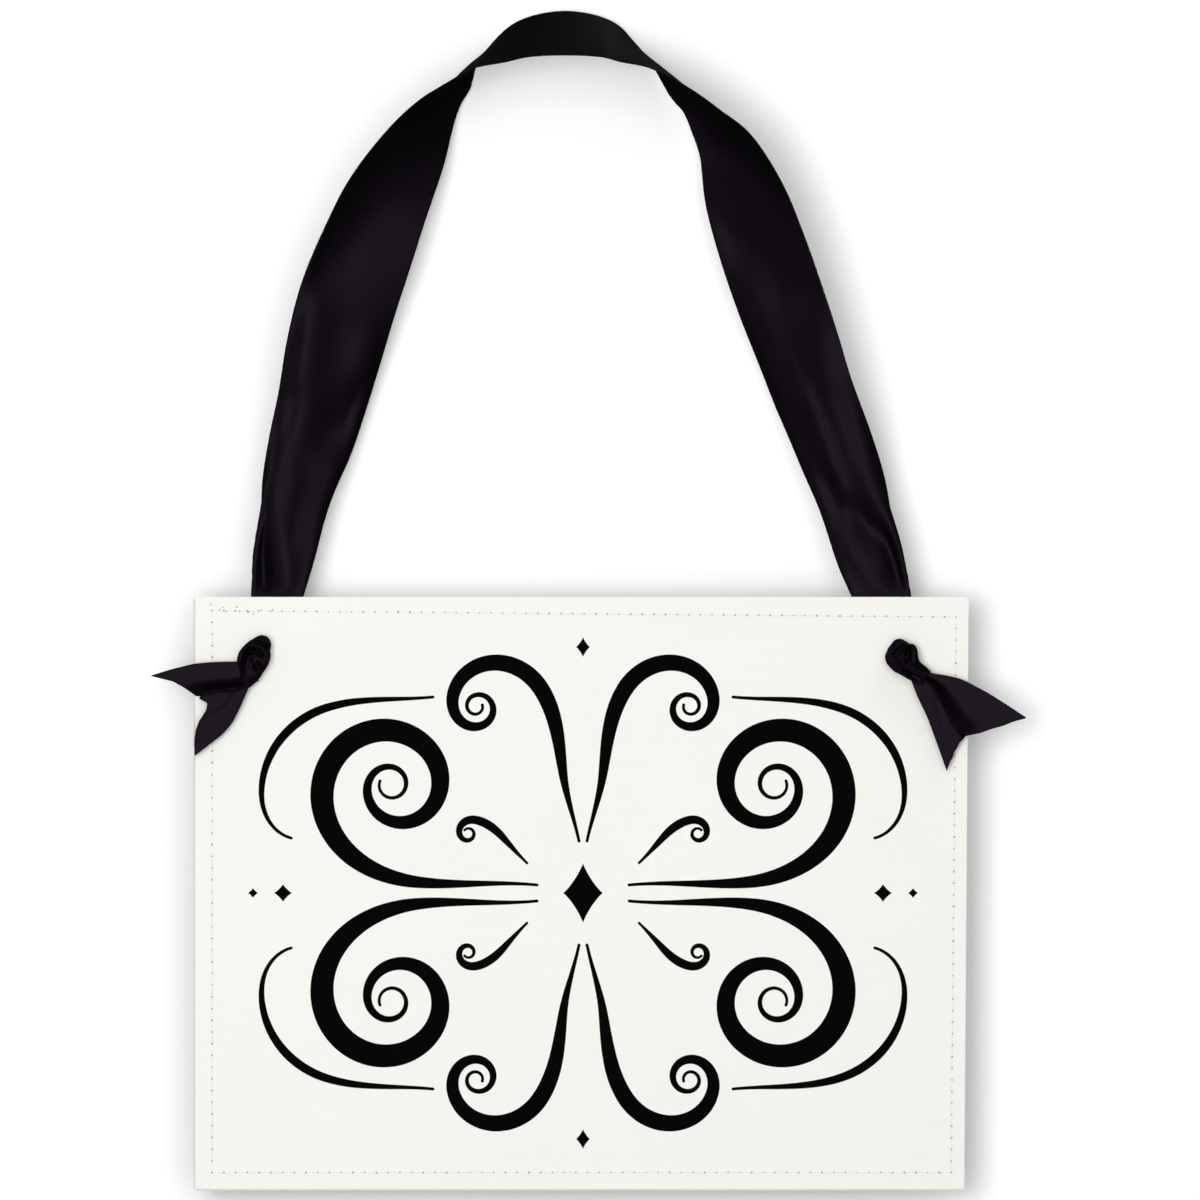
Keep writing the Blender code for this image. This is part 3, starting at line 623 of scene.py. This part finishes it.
def one_sided(name, color, glow):
    """Return a backdrop's material: lit in front, a little brighter to the eye, see-through behind."""
    made = Nodes(bpy.data.materials.new(name))
    made.tree.nodes.clear()
    rays = made.node("ShaderNodeLightPath").outputs
    seen = rays["Is Camera Ray"]
    for ray in ("Is Glossy Ray", "Is Transmission Ray"):
        seen = made.math("MAXIMUM", seen, rays[ray])
    light = made.node("ShaderNodeEmission")
    made.link(made.math("MULTIPLY", seen, glow), light.inputs["Strength"])
    dull = made.node("ShaderNodeBsdfDiffuse", Color=color)
    both = made.node("ShaderNodeAddShader", dull.outputs["BSDF"], light.outputs["Emission"])
    behind = made.read("ShaderNodeNewGeometry", "Backfacing")
    clear = made.read("ShaderNodeBsdfTransparent", "BSDF")
    made.show(behind, both.outputs["Shader"], clear, "ShaderNodeOutputMaterial")
    return made.owner


def add_stage():
    """Add a white wall close behind the sign and a pale floor below it."""
    wall_y = CAD_HIGH.y + WALL_GAP
    planes = (
        ("wall", "white_wall", WALL_COLOR, WALL_GLOW, (wall_y, FLOOR_Z), (wall_y, STAGE_REACH)),
        ("floor", "pale_floor", FLOOR_COLOR, FLOOR_GLOW, (FLOOR_FRONT, FLOOR_Z), (wall_y, FLOOR_Z)),
    )
    for name, look, color, glow, near, far in planes:
        corners = [(-STAGE_REACH, *near), (STAGE_REACH, *near), (STAGE_REACH, *far), (-STAGE_REACH, *far)]
        plane = link_mesh(name, corners, [(0, 1, 2, 3)], one_sided(look, color, glow))
        # Light from behind still reaches the sign's back, as it hangs free
        plane.visible_diffuse = False
        plane.visible_shadow = False
        plane.visible_glossy = False


def unbounced(made, bounces, strength):
    """Return a light's strength, which is nothing after this many bounces off dull surfaces."""
    depth = made.read("ShaderNodeLightPath", "Diffuse Depth")
    return made.math("MULTIPLY", made.math("LESS_THAN", depth, bounces - 0.5), strength)


def add_world():
    """Light everything evenly, and show white to the eye."""
    world = bpy.data.worlds.new("studio")
    bpy.context.scene.world = world
    made = Nodes(world)
    made.tree.nodes.clear()
    ambient = made.node("ShaderNodeBackground", Color=WHITE)
    made.link(unbounced(made, 2, AMBIENT), ambient.inputs["Strength"])
    shown = made.node("ShaderNodeBackground", Color=WHITE)
    seen = made.read("ShaderNodeLightPath", "Is Camera Ray")
    made.show(seen, ambient.outputs["Background"], shown.outputs["Background"], "ShaderNodeOutputWorld")


def add_lamp(name, place, size, level, mirrored):
    """Add a soft square lamp that looks at the middle of the sign and lights it to a level."""
    data = bpy.data.lights.new(name, "AREA")
    data.size = size
    aim = FRAME_CENTRE - Vector(place)
    data.energy = level * (math.pi * aim.length) ** 2
    if place[1] > 0.0:
        # What it puts on the sign's back doesn't spill on to the wall
        made = Nodes(data)
        made.link(unbounced(made, 1, 1.0), made.tree.nodes["Emission"].inputs["Strength"])
    lamp = add_object(name, data)
    lamp.visible_glossy = mirrored
    lamp.location = place
    lamp.rotation_euler = aim.to_track_quat("-Z", "Y").to_euler()


def add_camera():
    """Add the camera: straight on, with a long lens, framed as the photograph is."""
    data = bpy.data.cameras.new("camera")
    data.lens = LENS
    data.sensor_width = SENSOR
    width = IMAGE_SIZE * METRES_PER_PIXEL
    camera = add_object("camera", data)
    camera.location = FRAME_CENTRE - Vector((0.0, width * LENS / SENSOR, 0.0))
    camera.rotation_euler = (math.radians(90.0), 0.0, 0.0)
    data.clip_start = CLIP_NEAR
    data.clip_end = CLIP_FAR
    bpy.context.scene.camera = camera


# Meshes


def link_mesh(name, points, faces, material):
    """Add an object of these points and faces."""
    mesh = bpy.data.meshes.new(name)
    mesh.from_pydata([tuple(point) for point in points], [], faces)
    mesh.materials.append(material)
    return add_object(name, mesh)


def sheet_mesh(name, rows, material):
    """Add a sheet of cloth through rows of points, and return it and its length.

    Its UV map is its own width and length in metres, and half of its thickness lies to
    each side of the points.
    """
    columns = len(rows[0])
    faces = []
    for row in range(len(rows) - 1):
        for column in range(columns - 1):
            first = row * columns + column
            faces.append((first, first + 1, first + columns + 1, first + columns))
    sheet = link_mesh(name, [point for row in rows for point in row], faces, material)
    middle = columns // 2
    along = [0.0]
    for before, after in zip(rows, rows[1:]):
        along.append(along[-1] + (after[middle] - before[middle]).length)
    layer = sheet.data.uv_layers.new(name="cloth")
    for loop in sheet.data.loops:
        row, column = divmod(loop.vertex_index, columns)
        layer.data[loop.index].uv = (RIBBON_WIDTH * column / (columns - 1), along[row])
    sheet.data.shade_smooth()
    solid = sheet.modifiers.new("Thickness", "SOLIDIFY")
    solid.thickness = CLOTH_THICKNESS
    solid.offset = 0.0
    solid.use_even_offset = True
    return sheet, along[-1]


def walk(headings, step):
    """Return the (across, behind) points of a section that takes a step along each heading."""
    line = [(0.0, 0.0)]
    for heading in headings:
        across, behind = line[-1]
        line.append((across + step * math.cos(heading), behind + step * math.sin(heading)))
    return line


# Ribbon loop


def section(face, fold, front_bow, back_bow, bunched):
    """Return the ribbon's section as (across, behind), from its back edge to its front edge.

    Both edges turn back beyond the folds, and each half of the width bows the other
    way. Where the ribbon is bunched, it lies in narrow pleats instead.
    """
    radius = FOLD_RADIUS * (1.0 + FOLD_OPENING * (1.0 - fold / FOLD_CLOSED))
    half_width = RIBBON_WIDTH / 2
    half_face = face * half_width
    columns = 2 * HALF_COLUMNS
    step = RIBBON_WIDTH / columns
    headings = []
    for column in range(columns):
        place = (column + 0.5) * step - half_width
        beyond = (abs(place) - half_face + radius) / (2.0 * radius)
        bow = front_bow if place > 0.0 else back_bow
        turn = math.radians(fold * smoothstep(beyond) - bow * abs(place) / half_width)
        turn = turn if place > 0.0 else -turn
        pleat = BUNCH_SWING * math.cos(math.tau * BUNCH_WAVES * (column + 0.5) / columns)
        headings.append(turn * (1.0 - bunched) + pleat * bunched)
    line = walk(headings, step)
    middle = line[HALF_COLUMNS]
    if bunched:
        centre = sum(across for across, _ in line) / len(line)
        middle = (middle[0] * (1.0 - bunched) + centre * bunched, middle[1])
    return [(across - middle[0], behind - middle[1]) for across, behind in line]


def arch_stations():
    """Return the stations of the ribbon over the crown, from the left foot to the right foot."""
    sides = []
    for side, rows in (("left", LEFT_ARCH), ("right", RIGHT_ARCH)):
        line = []
        for rise, inward, *look in (*rows, CROWN):
            x = HOLE_X[side] * (1.0 - inward)
            y = FOOT_Y * (1.0 - rise) ** 2
            z = TOP_Z + rise * LOOP_HEIGHT
            level = max(0.0, 1.0 - rise / rows[1][0])
            line.append((x, y, z, level, *look))
        sides.append(line)
    left, right = sides
    return smooth_path(left + right[-2::-1], STEPS_PER_ROW)


def arch_rows():
    """Return the rows of points of the ribbon over the crown."""
    stations = arch_stations()
    lift = Vector((0.0, 0.0, FOOT_RISE))
    rows = []
    for i, (x, y, z, level, twist, *look) in enumerate(stations):
        ahead = stations[min(i + 1, len(stations) - 1)]
        behind = stations[max(i - 1, 0)]
        tangent = Vector((ahead[0] - behind[0], 0.0, ahead[2] - behind[2])).normalized()
        upright = Vector((0.0, 0.0, 1.0 if i < len(stations) / 2 else -1.0))
        tangent = tangent.lerp(upright, level).normalized()
        outward = Vector((-tangent.z, 0.0, tangent.x))
        angle = math.radians(twist)
        width_axis = outward * math.cos(angle) + Vector((0.0, -math.sin(angle), 0.0))
        back_axis = width_axis.cross(tangent)
        centre = Vector((x, y, z)) + lift * (1.0 - level)
        line = section(*look, 0.0)
        rows.append([centre + width_axis * across + back_axis * depth for across, depth in line])
    return rows


def bunch_rows(side, arch):
    """Return the rows behind the board, from just below its top edge down to the bunch at the hole."""
    _, inward, _, *look = arch[0]
    foot_x = HOLE_X[side] * (1.0 - inward)
    low = HOLE_Z + BUNCH_END
    mirror = -1.0 if side == "left" else 1.0
    foot_depths = [depth for _, depth in section(*look, 0.0)]
    foot_deep = max(foot_depths) - min(foot_depths)
    rows = []
    for row in range(1, BUNCH_ROWS + 1):
        down = row / BUNCH_ROWS
        bunched = smoothstep(down)
        line = section(*look, bunched)
        nearest = min(depth for _, depth in line)
        # The swung board lies close behind, so the bunch is pressed flat enough to clear it
        deep = max(depth for _, depth in line) - nearest
        squeeze = min(1.0, (foot_deep + (BUNCH_DEPTH - foot_deep) * down) / deep)
        x = foot_x + (HOLE_X[side] - foot_x) * down
        z = TOP_Z + (low - TOP_Z) * down
        rows.append([
            Vector((x + mirror * across, FOOT_Y + (depth - nearest) * squeeze, z))
            for across, depth in line
        ])
    return rows


def crease(rows, looks):
    """Lift or sink the loop's face along its folds, fading towards its turned edges and its foot."""
    foot = pixel(Vector((0.0, FRONT_Y, TOP_Z)))[1]
    grid = np.array([[tuple(point) for point in row] for row in rows])
    normals = np.cross(np.gradient(grid, axis=0), np.gradient(grid, axis=1))
    normals /= np.maximum(np.linalg.norm(normals, axis=2, keepdims=True), 1e-12)
    heights = np.zeros(grid.shape[:2])
    for row, line in enumerate(rows):
        face, fold = looks[row]
        half = HALF_COLUMNS * (face + (1.0 - face) * (1.0 - fold / FOLD_CLOSED))
        for column, point in enumerate(line):
            facing = smoothstep((abs(normals[row, column][1]) - FACING_FROM) / FACING_SPAN)
            inside = smoothstep((half - abs(column - HALF_COLUMNS)) / EDGE_FADE_COLUMNS)
            px, py = pixel(point)
            share = facing * inside * smoothstep((foot - py) / FOLD_FADE_PX)
            if share > 0.0:
                heights[row, column] = fold_height((px, py), LOOP_FOLDS) * share
    for _ in range(CREASE_SMOOTHING):
        heights[1:-1] = (heights[:-2] + 2.0 * heights[1:-1] + heights[2:]) / 4.0
        heights[:, 1:-1] = (heights[:, :-2] + 2.0 * heights[:, 1:-1] + heights[:, 2:]) / 4.0
    toward = np.where(normals[..., 1:2] > 0.0, -normals, normals)
    grid += toward * heights[..., None]
    return [[Vector(point) for point in row] for row in grid]


def add_ribbon(material):
    """Add the ribbon from the left hole over the crown to the right hole, as one sheet."""
    arch = crease(arch_rows(), [station[5:7] for station in arch_stations()])
    rows = bunch_rows("left", LEFT_ARCH)[::-1] + arch + bunch_rows("right", RIGHT_ARCH)
    ribbon, length = sheet_mesh("satin_ribbon", rows, material)
    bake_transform(ribbon)
    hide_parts("ribbon_loop", "left_ribbon_end", "right_ribbon_end")


# Knots


def skin(points, faces, first, sides):
    """Close rings of points, from this first point on, with faces between them and over both ends."""
    last = len(points) - sides
    for ring in range(first, last, sides):
        for side in range(sides):
            low = ring + side
            turn = ring + (side + 1) % sides
            faces.append((low, turn, turn + sides, low + sides))
    faces.append(tuple(range(first + sides - 1, first - 1, -1)))
    faces.append(tuple(range(last, last + sides)))


def tube(points, faces, path, guides, widths, heights, sides, pleats, depth):
    """Add a closed tube with lengthwise pleats to lists of points and faces."""
    first = len(points)
    for i, place in enumerate(path):
        ahead = path[min(i + 1, len(path) - 1)]
        behind = path[max(i - 1, 0)]
        tangent = (ahead - behind).normalized()
        upward = (guides[i] - tangent * guides[i].dot(tangent)).normalized()
        across = tangent.cross(upward)
        for side in range(sides):
            turn = math.tau * side / sides
            size = 1.0 + depth * math.cos(turn * pleats)
            offset = across * widths[i] * math.cos(turn) + upward * heights[i] * math.sin(turn)
            points.append(place + offset * size)
    skin(points, faces, first, sides)


def outline_samples(outline, count):
    """Read a smooth closed outline at evenly spaced places."""
    closed = [*outline, outline[0]]
    rounded = smooth_path([outline[-1], *closed, outline[1]], 6)[6:-6]
    runs = [math.dist(a, b) for a, b in zip(rounded, rounded[1:])]
    spacing = sum(runs) / count
    samples = []
    walked = 0.0
    for start, end, run in zip(rounded, rounded[1:], runs):
        while len(samples) < count and len(samples) * spacing <= walked + run:
            share = (len(samples) * spacing - walked) / run
            samples.append([a + (b - a) * share for a, b in zip(start, end)])
        walked += run
    return samples


def knot_ring(samples, middles, turn, folds):
    """Return one ring of a knot's skin: its widest at 0, its front at 90 and its back at -90 degrees."""
    inward = 1.0 - math.cos(turn)
    ring = []
    for sample, middle in zip(samples, middles):
        px, py = (a + (b - a) * inward for a, b in zip(sample, middle))
        if turn < 0.0:
            ring.append(spot(px, py, KNOT_EQUATOR + (KNOT_EQUATOR - KNOT_REST) * math.sin(turn)))
            continue
        rise = (middle[2] * MM - KNOT_EQUATOR) * math.sin(turn) ** KNOT_FULLNESS
        relief = fold_height((px, py), folds) * smoothstep(turn / KNOT_RELIEF_TURN)
        ring.append(spot(px, py, KNOT_EQUATOR + rise + relief))
    return ring


def add_knot(side, material):
    """Add one knot: its folded skin, and the neck through the card's hole."""
    look = KNOTS[side]
    samples = outline_samples(look["outline"], KNOT_SAMPLES)
    middles = [nearest_on(look["middle"], sample)[2] for sample in samples]
    points = []
    faces = []
    for row in range(-KNOT_RINGS // 2, KNOT_RINGS + 1):
        turn = math.pi / 2 * (row / KNOT_RINGS if row > 0 else 2.0 * row / KNOT_RINGS)
        points += knot_ring(samples, middles, turn, look["folds"])
    skin(points, faces, 0, KNOT_SAMPLES)
    px, py, _ = look["middle"][1]
    hole = Vector((HOLE_X[side], FRONT_Y, HOLE_Z))
    neck = [spot(px, py, KNOT_EQUATOR), spot(px, py, KNOT_EQUATOR).lerp(hole, NECK_LEAN)]
    neck += [hole + Vector((0.0, depth * MM, 0.0)) for depth in NECK_DEPTHS]
    neck.append(Vector((hole.x, SWING_Y + NECK_END, hole.z)))
    sizes = [NECK_RADIUS * size for size in NECK_SIZES]
    guides = [Vector((0.0, 0.0, 1.0))] * len(neck)
    tube(points, faces, neck, guides, sizes, sizes, NECK_SIDES, NECK_PLEATS, NECK_PLEAT_DEPTH)
    knot = link_mesh(f"{side}_tied_knot", points, faces, material)
    fuse = knot.modifiers.new("Fuse", "REMESH")
    fuse.mode = "VOXEL"
    fuse.voxel_size = KNOT_VOXEL
    fuse.use_smooth_shade = True
    soften = knot.modifiers.new("Soften", "SMOOTH")
    soften.iterations = KNOT_SMOOTHING
    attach(knot, "board")
    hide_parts(f"{side}_knot")


# Loose ends


def along_line(line, share):
    """Return the point this share of the way along a line of pixels."""
    runs = [math.hypot(b[0] - a[0], b[1] - a[1]) for a, b in zip(line, line[1:])]
    wanted = share * sum(runs)
    for (ax, ay), (bx, by), run in zip(line, line[1:], runs):
        if wanted <= run:
            part = wanted / run
            return ax + (bx - ax) * part, ay + (by - ay) * part
        wanted -= run
    return line[-1]


def pleated(width_seen, crease_share):
    """Return the section of a sheet with one hidden pleat, as (across, behind) in metres.

    The cloth turns back under its front lobe and forward again, so that its full width
    lies in the width that is seen, and then the far lobe rises from under the pleat.
    """
    near = crease_share * width_seen
    hidden = max(0.0, (RIBBON_WIDTH - width_seen) / 2)
    hidden = min(hidden, PLEAT_LIMIT * near)
    strength = min(1.0, hidden / PLEAT_FLAT)
    whole = width_seen + 2.0 * hidden
    step = whole / TAIL_COLUMNS
    half_turn = math.pi * PLEAT_RADIUS / 2
    headings = []
    for column in range(TAIL_COLUMNS):
        place = (column + 0.5) * step
        back = smoothstep((place - near + half_turn) / (2.0 * half_turn))
        forward = smoothstep((place - near - hidden + half_turn) / (2.0 * half_turn))
        headings.append(math.pi * (back - forward) * strength)
    raised = []
    for column, (across, behind) in enumerate(walk(headings, step)):
        if column * step > near + hidden:
            beyond = (across - near) / max(width_seen - near, 1e-6)
            behind *= 1.0 - VALLEY_RISE * smoothstep(beyond / VALLEY_SHARE)
        raised.append((across, behind))
    return raised


def tail_point(tail, lower, upper, across, out):
    """Return the pixel of a loose end at a share across, from its lower to its upper edge, and out."""
    if across < 0.5:
        end = along_line(tail["lower_cut"], 1.0 - 2.0 * across)
    else:
        end = along_line(tail["upper_cut"], 2.0 - 2.0 * across)
    place = []
    for low, high, cut, low_tip, high_tip in zip(lower, upper, end, tail["lower"][-1], tail["upper"][-1]):
        tip = low_tip + (high_tip - low_tip) * across
        place.append(low + (high - low) * across + (cut - tip) * out)
    return place


def add_tail(side, material):
    """Add one loose end: pleated at the knot, open at its swallowtail cut."""
    tail = TAILS[side]
    at_knot, halfway, at_cut = tail["crease"]
    rows = []
    for row in range(TAIL_ROWS + 1):
        out = row / TAIL_ROWS
        upper = along_line(tail["upper"], out)
        lower = along_line(tail["lower"], out)
        width_seen = math.dist(upper, lower) * METRES_PER_PIXEL
        crease_share = at_knot * (1.0 - out) * (1.0 - 2.0 * out) + halfway * 4.0 * out * (1.0 - out)
        crease_share += at_cut * out * (2.0 * out - 1.0)
        line = pleated(width_seen, crease_share)
        whole = line[-1][0]
        lift = TAIL_ROOT_LIFT + (TAIL_TIP_LIFT - TAIL_ROOT_LIFT) * out
        points = []
        for reach, behind in line:
            across = min(1.0, max(0.0, reach / whole))
            px, py = tail_point(tail, lower, upper, across, out)
            beyond = across / crease_share if across < crease_share else (1.0 - across) / (1.0 - crease_share)
            rise = TAIL_LOBE_RISE * math.sin(math.pi * min(1.0, beyond)) * math.sin(math.pi * out)
            forward = lift + rise - behind + fold_height((px, py), tail["folds"])
            points.append(spot(px, py, forward))
        rows.append(points)
    loose, _ = sheet_mesh(f"{side}_loose_end", rows, material)
    soften = loose.modifiers.new("Soften", "SUBSURF")
    soften.levels = 1
    soften.render_levels = 1
    soften.boundary_smooth = "PRESERVE_CORNERS"
    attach(loose, f"{side}_tail")
    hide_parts(f"{side}_tail")


# Seam


def seam_line():
    """Return the seam's needle holes as (x, z), round the board from the top left."""
    corners = [Vector(corner) for corner in SEAM_CORNERS]
    holes = []
    for corner, after in zip(corners, corners[1:] + corners[:1]):
        run = after - corner
        count = round(run.length / STITCH_PITCH)
        holes += [corner + run * step / count for step in range(count)]
    return holes


def add_stitches(name, card_y, outward, material, node):
    """Add the stitches of one thread: each rises from a hole, lies along the card and dips again."""
    holes = seam_line()
    chance = random.Random(STITCH_SEED)
    wide = [THREAD_RADIUS * THREAD_WIDTH] * STITCH_RINGS
    high = [THREAD_RADIUS * THREAD_HEIGHT] * STITCH_RINGS
    points = []
    faces = []
    for start, end in zip(holes, holes[1:] + holes[:1]):
        run = end - start
        aside = Vector((-run.y, run.x)).normalized() * chance.uniform(-STITCH_WANDER, STITCH_WANDER)
        flat = Vector((run.y, 0.0, -run.x)).normalized()
        path = []
        guides = []
        for ring in range(STITCH_RINGS):
            share = ring / (STITCH_RINGS - 1)
            arch = min(1.0, math.sin(math.pi * share) * STITCH_STEEPNESS)
            height = THREAD_RADIUS * (STITCH_RISE * arch - STITCH_DIP)
            place = start.lerp(end, STITCH_END + (1.0 - 2.0 * STITCH_END) * share) + aside * arch
            path.append(Vector((place.x, card_y + outward * height, place.y)))
            turn = math.tau * share * THREAD_TURNS
            guides.append(Vector((0.0, outward * math.cos(turn), 0.0)) + flat * math.sin(turn))
        tube(points, faces, path, guides, wide, high, THREAD_SIDES, 1, 0.0)
    stitches = link_mesh(name, points, faces, material)
    stitches.data.shade_smooth()
    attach(stitches, "board")
    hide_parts(node)


def plate(points, faces, near, far, rise):
    """Add a thin closed plate on the card between two edges of (x, z) points."""
    first = len(points)
    for height in (-INK_DEPTH, rise):
        points += [(x, FRONT_Y - height, z) for x, z in (*near, *far[::-1])]
    count = len(near) + len(far)
    for i in range(len(near) - 1):
        left, right = first + i, first + count - 1 - i
        faces.append((left, left + 1, right - 1, right))
        faces.append((right + count, right + count - 1, left + count + 1, left + count))
    for i in range(count):
        after = (i + 1) % count
        faces.append((first + i, first + count + i, first + count + after, first + after))


def disc(centre, width, height, sides, power=1.0):
    """Return the near and far edges of an oval, or of a hollow-sided lozenge, as (x, z) points."""
    edges = []
    for way in (1.0, -1.0):
        edge = []
        for step in range(sides + 1):
            turn = math.pi * step / sides
            across = math.copysign(abs(math.cos(turn)) ** power, math.cos(turn))
            edge.append((centre[0] + width * across, centre[1] + way * height * math.sin(turn) ** power))
        edges.append(edge)
    return edges


def add_needle_hole_shades(material):
    """Add painted shade for the needle's punctures on the front, each a small dark oval."""
    chance = random.Random(HOLE_SEED)
    places = [tuple(hole) for hole in seam_line()]
    places += [(start.x, start.z) for start in (spot(px, py) for px, py in START_HOLES)]
    points = []
    faces = []
    for place in places:
        size = HOLE_RADIUS * chance.uniform(*HOLE_SIZES)
        plate(points, faces, *disc(place, size, size, HOLE_SIDES), INK_RISE)
    holes = link_mesh("needle_hole_shades", points, faces, material)
    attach(holes, "board")


# Ornament


def pen_stroke(start, heading, pieces, thin, thick, peak):
    """Return a pen stroke as (x, y, turn, width), its bend changing evenly within each piece."""
    x, y = start
    turn = math.radians(heading)
    line = [(x, y, turn)]
    for length, first_bend, last_bend in pieces:
        steps = math.ceil(length / PEN_STEP)
        step = length / steps
        for i in range(steps):
            turn += (first_bend + (last_bend - first_bend) * (i + 0.5) / steps) * step
            x += math.cos(turn) * step
            y += math.sin(turn) * step
            line.append((x, y, turn))
    stroke = []
    for i, (x, y, turn) in enumerate(line):
        share = i / (len(line) - 1)
        share = 0.5 * share / peak if share < peak else 0.5 + 0.5 * (share - peak) / (1.0 - peak)
        stroke.append((x, y, turn, thin + (thick - thin) * math.sin(math.pi * share) ** PEN_SWELL))
    return stroke


def printed(x, y, way_x, way_y):
    """Return where a place of the ornament lies on the board, as (x, z)."""
    place = spot(ORNAMENT_MIDDLE[0] + way_x * x, ORNAMENT_MIDDLE[1] + way_y * y)
    return place.x, place.z


def add_ornament(material):
    """Print the scroll ornament, the same in all four quarters of the board."""
    quarters = ((1, 1), (-1, 1), (1, -1), (-1, -1))
    points = []
    faces = []
    rise = INK_RISE
    for look in STROKES:
        line = pen_stroke(*look)
        rise += INK_STEP
        for way in quarters:
            edges = []
            for side in (0.5, -0.5):
                edges.append([
                    printed(x - math.sin(turn) * width * side, y + math.cos(turn) * width * side, *way)
                    for x, y, turn, width in line
                ])
            if way[0] * way[1] > 0:
                edges.reverse()
            plate(points, faces, *edges, rise)
            for x, y, _, width in (line[0], line[-1]):
                radius = width / 2 * METRES_PER_PIXEL
                plate(points, faces, *disc(printed(x, y, *way), radius, radius, HOLE_SIDES), rise)
    rise += INK_STEP
    for x, y, width, height in LOZENGES:
        size = (width * METRES_PER_PIXEL, height * METRES_PER_PIXEL)
        for way in sorted({(1 if x == 0 else a, 1 if y == 0 else b) for a, b in quarters}):
            plate(points, faces, *disc(printed(x, y, *way), *size, LOZENGE_SIDES, LOZENGE_POWER), rise)
    ornament = link_mesh("printed_ornament", points, faces, material)
    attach(ornament, "board")


# Cards


def dress_cards():
    """Give the two cards their materials."""
    looks = {
        "front_card": ("laid_card", (0.925, 0.915, 0.872, 1.0), (0.905, 0.893, 0.848, 1.0), 0.5, True),
        "backing_card": ("grey_board", (0.88, 0.86, 0.81, 1.0), (0.82, 0.80, 0.745, 1.0), 0.2, False),
    }
    for name, look in looks.items():
        card = frame["nodes"][name]
        card.data.materials.clear()
        card.data.materials.append(card_material(*look))


def main():
    """Dress the sign and set the studio."""
    bpy.context.scene.view_settings.view_transform = "Standard"
    add_stage()
    add_world()
    for lamp in LAMPS:
        add_lamp(*lamp)
    add_camera()
    satin = satin_material("satin", "UV", (9000.0, 250.0, 1.0), (110.0, 40.0, 1.0))
    knotted = satin_material("knotted_satin", "Object", (2600.0, 2600.0, 2600.0), (300.0, 300.0, 300.0))
    thread = plain_material("thread")
    dress_cards()
    add_ribbon(satin)
    for side in ("left", "right"):
        add_knot(side, knotted)
        add_tail(side, satin)
    add_stitches("needle_stitches", FRONT_Y, -1.0, thread, "needle_thread")
    add_stitches("bobbin_stitches", BACK_Y, 1.0, thread, "bobbin_thread")
    add_needle_hole_shades(plain_material("needle_hole_shade"))
    add_ornament(plain_material("black_ink"))


main()
